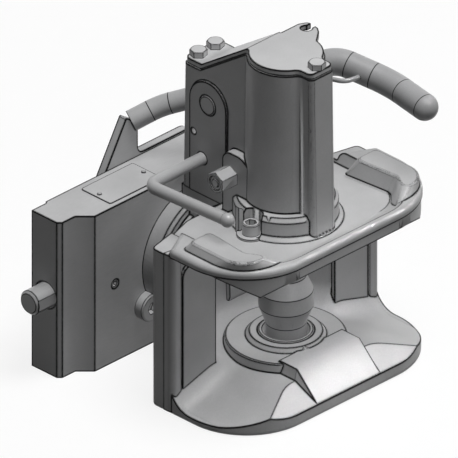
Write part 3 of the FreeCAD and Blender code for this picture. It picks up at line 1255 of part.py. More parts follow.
def build():
    os.makedirs("parts", exist_ok=True)
    save("slide_carriage", make_carriage())
    save("rear_cover", make_rear_cover())
    save("rear_cover_screws", *make_rear_screws())
    save("type_plate", make_type_plate())
    save("type_plate_rivets", *make_rivets())
    save("guide_screws", *make_guide_screws())
    save("stop_bolts", *make_stop_bolts())
    right_pin = make_lock_pin()
    yoke = make_yoke()
    screw = yoke_screw()
    save("right_lock_pin", right_pin)
    save("left_lock_pin", mirrored(right_pin))
    save("right_pin_yoke", yoke)
    save("left_pin_yoke", half_turn(yoke))
    save("right_yoke_screw", screw)
    save("left_yoke_screw", half_turn(screw))
    save("lock_lever_plate", make_lever_plate())
    save("crank_pins", *make_crank_pins())
    save("lock_lever_bar", make_lever_bar())
    save("lock_lever_grip", make_grip())
    save("wire_loop", make_wire_loop())
    save("shank_washer", make_washer())
    save("shank_nut", make_nut())
    save("cotter_pin", make_cotter())
    save("jaw_casting", make_jaw())
    save("pin_seat_bush", make_seat_bush())
    save("pin_guide_bush", make_guide_bush())
    save("coupling_pin", make_coupling_pin())
    save("closing_spring", make_closing_spring())
    save("tower_cover", make_cover())
    save("cover_bolts", *make_cover_bolts())
    save("hand_lever", make_hand_lever())
    save("lift_arm", make_lift_arm())
    save("latch_pawl", make_latch_pawl())
    save("latch_shaft", make_latch_shaft())
    save("trigger_flap", make_flap())
    save("flap_hinge_pin", make_flap_pin())
    save("side_plug", make_side_plug())
    save("cap_screw_clip", make_clip())
    save("cap_screw", make_cap_screw())


build()
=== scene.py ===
"""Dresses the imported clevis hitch: a finish for every piece, the shank's thread and a plain stage."""

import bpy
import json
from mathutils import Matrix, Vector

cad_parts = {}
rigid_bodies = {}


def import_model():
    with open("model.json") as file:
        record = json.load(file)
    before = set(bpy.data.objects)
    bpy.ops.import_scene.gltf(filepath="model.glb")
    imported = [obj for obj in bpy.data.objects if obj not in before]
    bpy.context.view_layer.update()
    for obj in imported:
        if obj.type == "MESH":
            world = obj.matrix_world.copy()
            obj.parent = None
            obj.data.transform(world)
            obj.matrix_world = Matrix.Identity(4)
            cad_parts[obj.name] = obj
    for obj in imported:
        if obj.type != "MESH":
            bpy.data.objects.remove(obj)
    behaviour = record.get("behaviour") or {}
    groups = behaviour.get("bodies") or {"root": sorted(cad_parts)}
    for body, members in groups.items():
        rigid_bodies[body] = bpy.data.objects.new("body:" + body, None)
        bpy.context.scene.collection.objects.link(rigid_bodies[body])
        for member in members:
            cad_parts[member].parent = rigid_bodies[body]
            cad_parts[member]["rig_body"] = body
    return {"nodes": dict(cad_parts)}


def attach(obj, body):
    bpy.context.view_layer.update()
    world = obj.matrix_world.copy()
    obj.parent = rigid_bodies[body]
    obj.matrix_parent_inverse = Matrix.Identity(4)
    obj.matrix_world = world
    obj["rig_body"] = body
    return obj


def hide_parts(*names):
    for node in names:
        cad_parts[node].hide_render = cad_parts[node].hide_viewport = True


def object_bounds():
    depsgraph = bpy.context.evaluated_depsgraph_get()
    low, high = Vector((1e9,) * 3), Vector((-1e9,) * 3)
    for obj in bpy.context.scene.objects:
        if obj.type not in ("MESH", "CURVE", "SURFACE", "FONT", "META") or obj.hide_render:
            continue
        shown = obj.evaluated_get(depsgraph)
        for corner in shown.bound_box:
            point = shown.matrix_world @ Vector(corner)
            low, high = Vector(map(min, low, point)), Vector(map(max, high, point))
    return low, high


bl_info = {
    "name": "Clevis hitch dressing",
    "version": (1, 0, 0),
    "blender": (4, 5, 0),
    "location": "View3D > Sidebar > Hitch",
    "description": "Gives the packed clevis hitch its finishes, thread and stage",
    "category": "Object",
}

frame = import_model()
CAD_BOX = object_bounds()

import json
import math

import bmesh
import bpy
from mathutils import Matrix, Vector

MM = 0.001

# The photograph's frame: an orthographic view from the front left, 30 degrees down
PHOTO_WIDTH = 458
PIXELS_PER_MM = 1.235
VIEW_AZIMUTH = math.radians(-45)
VIEW_ELEVATION = math.radians(30)
VIEW_CENTRE = Vector((-32.6, 32.6, 58.8)) * MM
CAMERA_DISTANCE = 2.0
CAMERA_REACH = 20.0

# What the narrow lamps are aimed at
MOUTH_CENTRE = Vector((0, -40, -60)) * MM
RAMP_CENTRE = Vector((0, -62, -56)) * MM

# Each lamp's direction from what it is aimed at, its distance and its width
KEY_PLACE = ((0.10, -0.22, 0.97), 3.0, 1.6)
FILL_PLACE = ((-0.15, -0.80, 0.55), 1.8, 1.0)
MOUTH_PLACE = ((-0.20, -0.80, 0.45), 0.9, 0.15)
SHINE_PLACE = ((0.61, -0.36, 0.70), 1.2, 0.3)
MOUTH_SPREAD = math.radians(18)
SHINE_SPREAD = math.radians(13)

# The floor's grain, and how much of it shines by itself where the camera sees it
FLOOR_GRAIN_SCALE = 60.0
FLOOR_GRAIN_DETAIL = 3.0
FLOOR_GRAIN_DRIFT = 0.03
FLOOR_ROUGHNESS = 0.3
FLOOR_GLOW = 0.86
WHITE = (1, 1, 1)

# Grain and patches of the metals: the noise's middle range, its scale and detail, and how far it shifts
NOISE_LOW = 0.3
NOISE_HIGH = 0.7
GRAIN_DETAIL = 4.0
GRAIN_ROUGHNESS = 0.6
PATCH_SCALE = 22.0
PATCH_DETAIL = 5.0
SPECK_DRIFT = 0.05
GLOSS_DRIFT = 0.05
BUMP_STRENGTH = 0.35

# Reflection on open faces and on the dark edge lines
FACE_SHEEN = 0.35
EDGE_SHEEN = 0.02

# Cosines between the rounded normal and the face's at which an edge line starts and is full
EDGE_START = 0.9998
EDGE_FULL = 0.990
EDGE_SAMPLES = 12

# A ring line is full up to the first share of its width and gone at the second
RING_CORE = 0.3
RING_RIM = 0.6

# The colour mix node's sockets
MIX_FACTOR = 0
MIX_FIRST = 6
MIX_SECOND = 7
MIX_RESULT = 2

# How a copy's triangles are joined
MERGE_DISTANCE = 0.002 * MM
NEEDLE_LENGTH = 0.001 * MM
FLAT_ANGLE = math.radians(0.2)

# The lock lever's bar and grip run along these points, with these bend radii, as in the part
BAR_ROUTE = [
    Vector((-22.7, 155.0, 105.7)) * MM,
    Vector((-1.4, 142.5, 116.5)) * MM,
    Vector((95.5, 35.5, 163.3)) * MM,
    Vector((110.3, -10.2, 154.1)) * MM,
    Vector((105.5, -53.3, 151.5)) * MM,
]
BAR_BENDS = (60 * MM, 30 * MM, 70 * MM)

# Heights at which the coupling pin's outline turns
PIN_KINKS = (-26.6 * MM, -10.9 * MM, 3.3 * MM, 17.0 * MM)

# The thread on the shank's end, with the depth that its foot is sunk in the shank
THREAD_RADIUS = 18.0 * MM
THREAD_START = 180.5 * MM
THREAD_STEPS = 32
THREAD_SINK = 0.1 * MM
THREAD_MERGE = 0.001 * MM

# The ridge takes up this share of the pitch, and its crest lies between these shares of the ridge
RIDGE_SHARE = 0.8
CREST_FROM = 0.45
CREST_TO = 0.55

# Which nodes share a finish and a group
CASTINGS = ("jaw_casting", "tower_cover")
SLIDE_PARTS = ("slide_carriage", "rear_cover", "lock_lever_plate", "left_pin_yoke", "right_pin_yoke")
PIN_PARTS = ("left_lock_pin", "right_lock_pin", "pin_seat_bush", "pin_guide_bush")
TURNED_PARTS = ("latch_shaft", "flap_hinge_pin", "crank_pins", "hand_lever")
INSIDE_PARTS = ("lift_arm", "latch_pawl", "trigger_flap", "closing_spring")
FASTENERS = ("rear_cover_screws", "guide_screws", "stop_bolts", "shank_washer", "shank_nut", "cotter_pin",
             "cover_bolts", "side_plug", "cap_screw", "cap_screw_clip", "left_yoke_screw", "right_yoke_screw")
LEVER_PARTS = ("lock_lever_bar", "wire_loop")
PLATE_PARTS = ("type_plate", "type_plate_rivets")


class HitchFinish(bpy.types.PropertyGroup):
    """Colours and surface of the finishes."""

    cast_colour: bpy.props.FloatVectorProperty(
        name="Casting", description="Colour of the cast jaw and tower cover",
        default=(0.42, 0.421, 0.425), subtype="COLOR", min=0, max=1)
    steel_colour: bpy.props.FloatVectorProperty(
        name="Milled steel", description="Colour of the slide, its cover, the lever plate and the yokes",
        default=(0.42, 0.421, 0.425), subtype="COLOR", min=0, max=1)
    turned_colour: bpy.props.FloatVectorProperty(
        name="Turned steel",
        description="Colour of the pins, bushes, shafts, levers and the pieces in the tower",
        default=(0.36, 0.361, 0.365), subtype="COLOR", min=0, max=1)
    fastener_colour: bpy.props.FloatVectorProperty(
        name="Fasteners", description="Colour of bolts, nuts, screws, the clip, the plug and the thread",
        default=(0.44, 0.441, 0.445), subtype="COLOR", min=0, max=1)
    grip_colour: bpy.props.FloatVectorProperty(
        name="Grip", description="Colour of the lock lever's grip",
        default=(0.30, 0.301, 0.305), subtype="COLOR", min=0, max=1)
    plate_colour: bpy.props.FloatVectorProperty(
        name="Type plate", description="Colour of the bare type plate and its rivets",
        default=(0.44, 0.441, 0.445), subtype="COLOR", min=0, max=1)
    edge_width: bpy.props.FloatProperty(
        name="Edge width", description="Width of the dark line along a sharp edge",
        default=2.4 * MM, unit="LENGTH", min=0, max=5 * MM)
    edge_tone: bpy.props.FloatProperty(
        name="Edge tone", description="How bright an edge is against its face",
        default=0.04, subtype="FACTOR", min=0, max=1)
    line_width: bpy.props.FloatProperty(
        name="Line width", description="Width of the dark line where a bar's bend or a pin's taper starts",
        default=0.9 * MM, unit="LENGTH", min=0, max=5 * MM)
    patchiness: bpy.props.FloatProperty(
        name="Patchiness", description="How far the colour drifts from place to place",
        default=0.08, subtype="FACTOR", min=0, max=0.5)
    cast_angle: bpy.props.FloatProperty(
        name="Casting smooth angle",
        description="Faces of castings and pins that meet at less than this are shaded as one",
        default=math.radians(11), subtype="ANGLE", min=0, max=math.pi)
    milled_angle: bpy.props.FloatProperty(
        name="Milled smooth angle",
        description="Faces of the slide and plates that meet at less than this are shaded as one",
        default=math.radians(11), subtype="ANGLE", min=0, max=math.pi)
    turned_angle: bpy.props.FloatProperty(
        name="Turned smooth angle",
        description="Faces of shafts, levers and fasteners that meet at less than this are shaded as one",
        default=math.radians(27), subtype="ANGLE", min=0, max=math.pi)


class HitchThread(bpy.types.PropertyGroup):
    """Sizes of the thread on the shank's end."""

    pitch: bpy.props.FloatProperty(
        name="Pitch", description="How far the thread climbs in one turn",
        default=3.0 * MM, unit="LENGTH", min=0.5 * MM, max=8 * MM)
    height: bpy.props.FloatProperty(
        name="Height", description="How far the thread stands off the shank",
        default=0.8 * MM, unit="LENGTH", min=0.1 * MM, max=3 * MM)
    turns: bpy.props.FloatProperty(
        name="Turns", description="How many times the thread winds round the shank's end",
        default=3.0, min=1, max=10)


class HitchStage(bpy.types.PropertyGroup):
    """Floor, lamps and world."""

    floor_colour: bpy.props.FloatVectorProperty(
        name="Floor", description="Colour of the floor",
        default=(0.9, 0.9, 0.9), subtype="COLOR", min=0, max=1)
    floor_size: bpy.props.FloatProperty(
        name="Floor size", description="Length of the floor's sides",
        default=8.0, unit="LENGTH", min=1, max=50)
    floor_bounce: bpy.props.FloatProperty(
        name="Floor bounce", description="How much light the floor throws back",
        default=0.05, subtype="FACTOR", min=0, max=1)
    key_power: bpy.props.FloatProperty(
        name="Key lamp", description="Power of the large lamp above, whose light the hitch shades",
        default=38.0, unit="POWER", min=0)
    open_power: bpy.props.FloatProperty(
        name="Open lamp",
        description="Power of the lamp there whose light the hitch doesn't stop, and of the floor's lamp",
        default=65.0, unit="POWER", min=0)
    fill_power: bpy.props.FloatProperty(
        name="Fill lamp", description="Power of the lamp in front of the mouth",
        default=0.25, unit="POWER", min=0)
    mouth_power: bpy.props.FloatProperty(
        name="Mouth lamp", description="Power of the narrow lamp that shines into the mouth",
        default=0.02, unit="POWER", min=0)
    shine_power: bpy.props.FloatProperty(
        name="Shine lamp", description="Power of the narrow lamp that the ramp mirrors",
        default=0.3, unit="POWER", min=0)
    world_light: bpy.props.FloatProperty(
        name="World light", description="Strength of the light from all round",
        default=0.008, min=0, max=5)


# Materials

def nodes_of(name):
    """A new material and its node tree, which is empty."""
    material = bpy.data.materials.new(name)
    material.use_nodes = True
    tree = material.node_tree
    tree.nodes.clear()
    return material, tree


def add_node(tree, kind, inputs=None, **settings):
    """A new node with its settings made and each input linked to a socket or given its value."""
    node = tree.nodes.new(kind)
    for key, value in settings.items():
        setattr(node, key, value)
    for key, value in (inputs or {}).items():
        if isinstance(value, bpy.types.NodeSocket):
            tree.links.new(value, node.inputs[key])
        else:
            node.inputs[key].default_value = value
    return node


def mixed(tree, factor, first, second):
    """The first colour where the factor is nought and the second where it is one."""
    node = add_node(tree, "ShaderNodeMix", {MIX_FACTOR: factor, MIX_FIRST: first, MIX_SECOND: second},
                    data_type="RGBA", blend_type="MIX")
    return node.outputs[MIX_RESULT]


def higher(tree, first, second):
    """The higher of two values."""
    return add_node(tree, "ShaderNodeMath", {0: first, 1: second}, operation="MAXIMUM").outputs[0]


def rgba(colour, factor=1.0):
    """A colour times a factor, with nothing see-through."""
    return (colour[0] * factor, colour[1] * factor, colour[2] * factor, 1.0)


def from_noise(tree, noise, low, high):
    """A noise's middle range spread out from low to high."""
    ends = {"Value": noise, "From Min": NOISE_LOW, "From Max": NOISE_HIGH, "To Min": low, "To Max": high}
    return add_node(tree, "ShaderNodeMapRange", ends).outputs["Result"]


def edge_mask(tree, width):
    """Nought on open faces and one along sharp edges, from how far a rounded normal turns from the face's."""
    rounded = add_node(tree, "ShaderNodeBevel", {"Radius": width}, samples=EDGE_SAMPLES)
    face = add_node(tree, "ShaderNodeNewGeometry")
    match = add_node(tree, "ShaderNodeVectorMath", operation="DOT_PRODUCT")
    tree.links.new(rounded.outputs["Normal"], match.inputs[0])
    tree.links.new(face.outputs["Normal"], match.inputs[1])
    ends = {"Value": match.outputs["Value"], "From Min": EDGE_START, "From Max": EDGE_FULL,
            "To Min": 0.0, "To Max": 1.0}
    return add_node(tree, "ShaderNodeMapRange", ends).outputs["Result"]


def bend_rings(corners):
    """Where the lever's straight runs meet its bends, for the given inner points of its route."""
    rings = []
    for corner in corners:
        here = BAR_ROUTE[corner]
        for other in (BAR_ROUTE[corner - 1], BAR_ROUTE[corner + 1]):
            away = (other - here).normalized()
            half = (BAR_ROUTE[corner - 1] - here).angle(BAR_ROUTE[corner + 1] - here) / 2
            rings.append((here + away * BAR_BENDS[corner - 1] / math.tan(half), away))
    return rings


def ring_lines(tree, place, rings, width):
    """One on thin rings round a bar or pin, each given by a point on its axis and the axis's direction."""
    total = 0.0
    for point, along in rings:
        offset = add_node(tree, "ShaderNodeVectorMath", {0: place, 1: point}, operation="SUBTRACT")
        run = add_node(tree, "ShaderNodeVectorMath", {0: offset.outputs[0], 1: along},
                       operation="DOT_PRODUCT")
        gap = add_node(tree, "ShaderNodeMath", {0: run.outputs["Value"]}, operation="ABSOLUTE").outputs[0]
        ends = {"Value": gap, "From Min": width * RING_CORE, "From Max": width * RING_RIM,
                "To Min": 1.0, "To Max": 0.0}
        line = add_node(tree, "ShaderNodeMapRange", ends).outputs["Result"]
        total = higher(tree, line, total)
    return total


def metal_finish(name, colour, grain_size, grain_depth, roughness, metallic=0.0, stretch=(1, 1, 1),
                 edge_share=1.0, rings=()):
    """Bare metal: grain, stretched along an axis for tool marks, with faint patches and dark edges."""
    finish = bpy.context.scene.hitch_finish
    material, tree = nodes_of(name)
    place = add_node(tree, "ShaderNodeTexCoord").outputs["Object"]
    along = add_node(tree, "ShaderNodeMapping", {"Vector": place, "Scale": stretch}).outputs["Vector"]
    grain = add_node(tree, "ShaderNodeTexNoise", {
        "Vector": along,
        "Scale": 1 / grain_size,
        "Detail": GRAIN_DETAIL,
        "Roughness": GRAIN_ROUGHNESS,
    }).outputs["Fac"]
    cloud = add_node(tree, "ShaderNodeTexNoise", {
        "Vector": place,
        "Scale": PATCH_SCALE,
        "Detail": PATCH_DETAIL,
    }).outputs["Fac"]
    tone = from_noise(tree, cloud, 1 - finish.patchiness, 1 + finish.patchiness)
    speck = from_noise(tree, grain, 1 - SPECK_DRIFT, 1 + SPECK_DRIFT)
    level = add_node(tree, "ShaderNodeMath", {0: tone, 1: speck}, operation="MULTIPLY").outputs[0]
    scaled = add_node(tree, "ShaderNodeVectorMath", {0: rgba(colour)[:3]}, operation="SCALE")
    tree.links.new(level, scaled.inputs["Scale"])
    mask = edge_mask(tree, finish.edge_width * edge_share)
    if rings:
        mask = higher(tree, mask, ring_lines(tree, place, rings, finish.line_width))
    base = mixed(tree, mask, scaled.outputs["Vector"], rgba(colour, finish.edge_tone))
    gloss = from_noise(tree, grain, roughness - GLOSS_DRIFT, roughness + GLOSS_DRIFT)
    sheen = add_node(tree, "ShaderNodeMapRange", {"Value": mask, "To Min": FACE_SHEEN, "To Max": EDGE_SHEEN})
    bump = add_node(tree, "ShaderNodeBump", {
        "Height": grain,
        "Strength": BUMP_STRENGTH,
        "Distance": grain_depth,
    })
    shader = add_node(tree, "ShaderNodeBsdfPrincipled", {
        "Base Color": base,
        "Metallic": metallic,
        "Roughness": gloss,
        "Specular IOR Level": sheen.outputs["Result"],
        "Normal": bump.outputs["Normal"],
    })
    add_node(tree, "ShaderNodeOutputMaterial", {"Surface": shader.outputs["BSDF"]})
    return material


# Pieces

def smooth_copy(node, material, angle):
    """A copy of a CAD node with joined triangles and smooth round faces, shown in the node's place."""
    source = frame["nodes"][node]
    mesh = source.data.copy()
    mesh.name = node + "_skin"
    shell = bmesh.new()
    shell.from_mesh(mesh)
    bmesh.ops.remove_doubles(shell, verts=shell.verts, dist=MERGE_DISTANCE)
    bmesh.ops.dissolve_degenerate(shell, edges=shell.edges, dist=NEEDLE_LENGTH)
    bmesh.ops.recalc_face_normals(shell, faces=shell.faces)
    bmesh.ops.dissolve_limit(shell, angle_limit=FLAT_ANGLE, verts=shell.verts, edges=shell.edges)
    for face in shell.faces:
        face.smooth = True
    shell.to_mesh(mesh)
    shell.free()
    mesh.materials.clear()
    mesh.materials.append(material)
    mesh.set_sharp_from_angle(angle=angle)
    piece = bpy.data.objects.new(node + "_skin", mesh)
    bpy.context.scene.collection.objects.link(piece)
    weighted = piece.modifiers.new("weighted normals", "WEIGHTED_NORMAL")
    weighted.keep_sharp = True
    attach(piece, source["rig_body"])
    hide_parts(node)
    return piece


def dress(names, material, angle):
    """Give each named node its smooth copy in one material."""
    for name in names:
        smooth_copy(name, material, angle)


class HITCH_OT_castings(bpy.types.Operator):
    """Dress the jaw casting and the tower cover"""

    bl_idname = "hitch.castings"
    bl_label = "Castings"

    def execute(self, context):
        finish = context.scene.hitch_finish
        material = metal_finish("satin casting", finish.cast_colour, grain_size=1.2 * MM,
                                grain_depth=0.15 * MM, roughness=0.40)
        dress(CASTINGS, material, finish.cast_angle)
        return {"FINISHED"}


class HITCH_OT_slide(bpy.types.Operator):
    """Dress the slide, its cover, the lever plate and the yokes"""

    bl_idname = "hitch.slide"
    bl_label = "Slide"

    def execute(self, context):
        finish = context.scene.hitch_finish
        material = metal_finish("milled steel", finish.steel_colour, grain_size=0.8 * MM,
                                grain_depth=0.05 * MM, roughness=0.40, stretch=(0.12, 1, 1))
        dress(SLIDE_PARTS, material, finish.milled_angle)
        return {"FINISHED"}


class HITCH_OT_turned(bpy.types.Operator):
    """Dress the pins, bushes, shafts, the hand lever and the pieces in the tower"""

    bl_idname = "hitch.turned"
    bl_label = "Turned parts"

    def execute(self, context):
        finish = context.scene.hitch_finish
        material = metal_finish("turned steel", finish.turned_colour, grain_size=0.6 * MM,
                                grain_depth=0.03 * MM, roughness=0.34, metallic=0.05, edge_share=0.6)
        rings = [(Vector((0, 0, height)), Vector((0, 0, 1))) for height in PIN_KINKS]
        pin = metal_finish("ground steel", finish.turned_colour, grain_size=0.6 * MM,
                           grain_depth=0.03 * MM, roughness=0.34, metallic=0.05, stretch=(1, 1, 0.2),
                           edge_share=0.6, rings=rings)
        dress(("coupling_pin",), pin, finish.cast_angle)
        dress(PIN_PARTS, material, finish.cast_angle)
        dress(TURNED_PARTS + INSIDE_PARTS, material, finish.turned_angle)
        return {"FINISHED"}


class HITCH_OT_fasteners(bpy.types.Operator):
    """Dress the bolts, nuts, screws, the clip and the plug"""

    bl_idname = "hitch.fasteners"
    bl_label = "Fasteners"

    def execute(self, context):
        finish = context.scene.hitch_finish
        material = metal_finish("zinc plated steel", finish.fastener_colour, grain_size=0.5 * MM,
                                grain_depth=0.03 * MM, roughness=0.36, metallic=0.05, edge_share=0.45)
        dress(FASTENERS, material, finish.turned_angle)
        return {"FINISHED"}


class HITCH_OT_thread(bpy.types.Operator):
    """Wind the thread round the shank's end"""

    bl_idname = "hitch.thread"
    bl_label = "Shank thread"

    def execute(self, context):
        finish = context.scene.hitch_finish
        thread = context.scene.hitch_thread
        steps = round(THREAD_STEPS * thread.turns)
        shell = bmesh.new()
        root = THREAD_RADIUS - THREAD_SINK
        crest = THREAD_RADIUS + thread.height
        ridge = ((root, 0.0), (crest, CREST_FROM), (crest, CREST_TO), (root, 1.0))
        corners = []
        for radius, share in ridge:
            run = THREAD_START + share * thread.pitch * RIDGE_SHARE
            corners.append(shell.verts.new((radius, run, 0)))
        outline = shell.faces.new(corners)
        bmesh.ops.spin(shell, geom=[outline], cent=(0, 0, 0), axis=(0, 1, 0),
                       angle=2 * math.pi * thread.turns, steps=steps,
                       dvec=(0, thread.pitch * thread.turns / steps, 0))
        bmesh.ops.remove_doubles(shell, verts=shell.verts, dist=THREAD_MERGE)
        bmesh.ops.recalc_face_normals(shell, faces=shell.faces)
        mesh = bpy.data.meshes.new("shank_thread")
        shell.to_mesh(mesh)
        shell.free()
        mesh.materials.append(metal_finish("cut thread", finish.fastener_colour, grain_size=0.5 * MM,
                                           grain_depth=0.03 * MM, roughness=0.36, metallic=0.05,
                                           edge_share=0.3))
        piece = bpy.data.objects.new("shank_thread", mesh)
        context.scene.collection.objects.link(piece)
        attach(piece, frame["nodes"]["jaw_casting"]["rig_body"])
        return {"FINISHED"}


class HITCH_OT_lock_lever(bpy.types.Operator):
    """Dress the lock lever's bar, grip and wire loop"""

    bl_idname = "hitch.lock_lever"
    bl_label = "Lock lever"

    def execute(self, context):
        finish = context.scene.hitch_finish
        bar = metal_finish("drawn bar", finish.turned_colour, grain_size=0.7 * MM, grain_depth=0.04 * MM,
                           roughness=0.36, metallic=0.1, stretch=(1, 0.3, 1), edge_share=0.5,
                           rings=bend_rings((1,)))
        end = (BAR_ROUTE[-1], (BAR_ROUTE[-1] - BAR_ROUTE[-2]).normalized())
        grip = metal_finish("moulded grip", finish.grip_colour, grain_size=1.0 * MM,
                            grain_depth=0.08 * MM, roughness=0.42, edge_share=0.5,
                            rings=bend_rings((2, 3)) + [end])
        dress(LEVER_PARTS, bar, finish.turned_angle)
        dress(("lock_lever_grip",), grip, finish.turned_angle)
        return {"FINISHED"}


class HITCH_OT_plate(bpy.types.Operator):
    """Dress the bare type plate and its rivets"""

    bl_idname = "hitch.plate"
    bl_label = "Type plate"

    def execute(self, context):
        finish = context.scene.hitch_finish
        material = metal_finish("anodised plate", finish.plate_colour, grain_size=0.4 * MM,
                                grain_depth=0.02 * MM, roughness=0.40, metallic=0.1, stretch=(0.1, 1, 1),
                                edge_share=0.5)
        dress(PLATE_PARTS, material, finish.milled_angle)
        return {"FINISHED"}


# Stage

def view_direction():
    """From the object towards the camera."""
    flat = math.cos(VIEW_ELEVATION)
    return Vector((math.sin(VIEW_AZIMUTH) * flat, -math.cos(VIEW_AZIMUTH) * flat, math.sin(VIEW_ELEVATION)))


def aimed(place, target):
    """A world matrix at place whose -Z axis looks at target."""
    turn = (target - place).to_track_quat("-Z", "Y")
    return Matrix.Translation(place) @ turn.to_matrix().to_4x4()


def add_lamp(name, place, power, spread=math.pi, target=VIEW_CENTRE):
    """A round lamp aimed at the target, placed by its direction from there, its distance and its width."""
    direction, distance, width = place
    lamp = bpy.data.lights.new(name, "AREA")
    lamp.shape = "DISK"
    lamp.size = width
    lamp.spread = spread
    lamp.energy = power
    holder = bpy.data.objects.new(name, lamp)
    bpy.context.scene.collection.objects.link(holder)
    holder.matrix_world = aimed(target + Vector(direction).normalized() * distance, target)
    return holder


def stop_only_at(lamp, piece):
    """Let only one piece stop a lamp's light, so that nothing else throws a shadow in it."""
    stops = bpy.data.collections.new(lamp.name + "_stops")
    stops.objects.link(piece)
    lamp.light_linking.blocker_collection = stops


def limit_reach(lamp, piece, state):
    """Let a lamp light only one piece, with state INCLUDE, or everything but that piece, with EXCLUDE."""
    reach = bpy.data.collections.new(lamp.name + "_reach")
    reach.objects.link(piece)
    reach.collection_objects[0].light_linking.link_state = state
    lamp.light_linking.receiver_collection = reach


def seen_rays(tree):
    """One for rays from the camera, mirrored rays and rays through glass, nought for light that bounces."""
    path = add_node(tree, "ShaderNodeLightPath")
    total = path.outputs["Is Camera Ray"]
    for name in ("Is Glossy Ray", "Is Transmission Ray"):
        total = higher(tree, total, path.outputs[name])
    return total


def add_floor(stage):
    """A pale floor under the hitch's lowest point, bright where it is seen and dull where light bounces."""
    low = CAD_BOX[0][2]
    shell = bmesh.new()
    bmesh.ops.create_grid(shell, x_segments=1, y_segments=1, size=stage.floor_size / 2)
    bmesh.ops.translate(shell, verts=shell.verts, vec=(0, 0, low))
    mesh = bpy.data.meshes.new("floor")
    shell.to_mesh(mesh)
    shell.free()
    floor = bpy.data.objects.new("floor", mesh)
    bpy.context.scene.collection.objects.link(floor)
    material, tree = nodes_of("pale floor")
    seen = seen_rays(tree)
    grain = add_node(tree, "ShaderNodeTexNoise", {
        "Vector": add_node(tree, "ShaderNodeTexCoord").outputs["Object"],
        "Scale": FLOOR_GRAIN_SCALE,
        "Detail": FLOOR_GRAIN_DETAIL,
    }).outputs["Fac"]
    darker = rgba(stage.floor_colour, 1 - FLOOR_GRAIN_DRIFT)
    lighter = rgba(stage.floor_colour, 1 + FLOOR_GRAIN_DRIFT)
    paint = mixed(tree, grain, darker, lighter)
    dull = rgba((stage.floor_bounce,) * 3)
    colour = mixed(tree, seen, dull, paint)
    matt = add_node(tree, "ShaderNodeBsdfDiffuse", {"Color": colour, "Roughness": FLOOR_ROUGHNESS})
    white = add_node(tree, "ShaderNodeEmission", {"Color": rgba(WHITE), "Strength": 1.0})
    share = add_node(tree, "ShaderNodeMath", {0: seen, 1: FLOOR_GLOW}, operation="MULTIPLY")
    blend = add_node(tree, "ShaderNodeMixShader", {
        0: share.outputs[0],
        1: matt.outputs["BSDF"],
        2: white.outputs["Emission"],
    })
    add_node(tree, "ShaderNodeOutputMaterial", {"Surface": blend.outputs["Shader"]})
    mesh.materials.append(material)
    return floor


def add_world(stage):
    """A world that is white where it is seen and gives only faint light."""
    world = bpy.data.worlds.new("studio")
    world.use_nodes = True
    tree = world.node_tree
    tree.nodes.clear()
    light = add_node(tree, "ShaderNodeBackground", {"Color": rgba(WHITE), "Strength": stage.world_light})
    seen = add_node(tree, "ShaderNodeBackground", {"Color": rgba(WHITE), "Strength": 1.0})
    blend = add_node(tree, "ShaderNodeMixShader", {
        0: seen_rays(tree),
        1: light.outputs[0],
        2: seen.outputs[0],
    })
    add_node(tree, "ShaderNodeOutputWorld", {"Surface": blend.outputs["Shader"]})
    bpy.context.scene.world = world


def add_camera():
    """The camera at the photograph's viewing angle and scale."""
    camera = bpy.data.cameras.new("camera")
    camera.type = "ORTHO"
    camera.ortho_scale = PHOTO_WIDTH / PIXELS_PER_MM * MM
    camera.clip_end = CAMERA_REACH
    holder = bpy.data.objects.new("camera", camera)
    bpy.context.scene.collection.objects.link(holder)
    holder.matrix_world = aimed(VIEW_CENTRE + view_direction() * CAMERA_DISTANCE, VIEW_CENTRE)
    bpy.context.scene.camera = holder


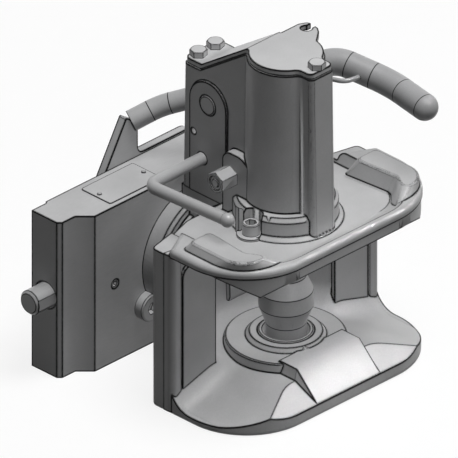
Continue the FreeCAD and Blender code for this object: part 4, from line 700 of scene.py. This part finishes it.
class HITCH_OT_stage(bpy.types.Operator):
    """Lay the floor and set the lamps, the world and the camera"""

    bl_idname = "hitch.stage"
    bl_label = "Stage"

    def execute(self, context):
        stage = context.scene.hitch_stage
        add_camera()
        floor = add_floor(stage)
        add_world(stage)
        add_lamp("key", KEY_PLACE, stage.key_power)
        # This lamp reaches into the mouth, and the next one keeps the hitch's shadow on the floor
        open_lamp = add_lamp("open_key", KEY_PLACE, stage.open_power)
        stop_only_at(open_lamp, floor)
        limit_reach(open_lamp, floor, "EXCLUDE")
        floor_lamp = add_lamp("floor_key", KEY_PLACE, stage.open_power)
        limit_reach(floor_lamp, floor, "INCLUDE")
        add_lamp("fill", FILL_PLACE, stage.fill_power)
        add_lamp("mouth", MOUTH_PLACE, stage.mouth_power, MOUTH_SPREAD, MOUTH_CENTRE)
        # This lamp is seen only as a reflection
        shine = add_lamp("shine", SHINE_PLACE, stage.shine_power, SHINE_SPREAD, RAMP_CENTRE)
        shine.visible_diffuse = False
        stop_only_at(shine, floor)
        context.scene.view_settings.view_transform = "Standard"
        return {"FINISHED"}


class HITCH_PT_panel(bpy.types.Panel):
    """Lists the steps and their settings"""

    bl_idname = "HITCH_PT_panel"
    bl_label = "Clevis hitch"
    bl_space_type = "VIEW_3D"
    bl_region_type = "UI"
    bl_category = "Hitch"

    def draw(self, context):
        for step in STEPS:
            self.layout.operator(step.bl_idname)
        for group in (context.scene.hitch_finish, context.scene.hitch_thread, context.scene.hitch_stage):
            for key in group.__annotations__:
                self.layout.prop(group, key)


STEPS = (HITCH_OT_stage, HITCH_OT_castings, HITCH_OT_slide, HITCH_OT_turned, HITCH_OT_fasteners,
         HITCH_OT_thread, HITCH_OT_lock_lever, HITCH_OT_plate)
GROUPS = {"hitch_finish": HitchFinish, "hitch_thread": HitchThread, "hitch_stage": HitchStage}


def register():
    for group in GROUPS.values():
        bpy.utils.register_class(group)
    for step in STEPS:
        bpy.utils.register_class(step)
    bpy.utils.register_class(HITCH_PT_panel)
    for name, group in GROUPS.items():
        setattr(bpy.types.Scene, name, bpy.props.PointerProperty(type=group))


def unregister():
    for name in GROUPS:
        delattr(bpy.types.Scene, name)
    bpy.utils.unregister_class(HITCH_PT_panel)
    for step in reversed(STEPS):
        bpy.utils.unregister_class(step)
    for group in reversed(GROUPS.values()):
        bpy.utils.unregister_class(group)


def main():
    register()
    bpy.ops.hitch.stage()
    bpy.ops.hitch.castings()
    bpy.ops.hitch.slide()
    bpy.ops.hitch.turned()
    bpy.ops.hitch.fasteners()
    bpy.ops.hitch.thread()
    bpy.ops.hitch.lock_lever()
    bpy.ops.hitch.plate()


if __name__ == "__main__":
    main()
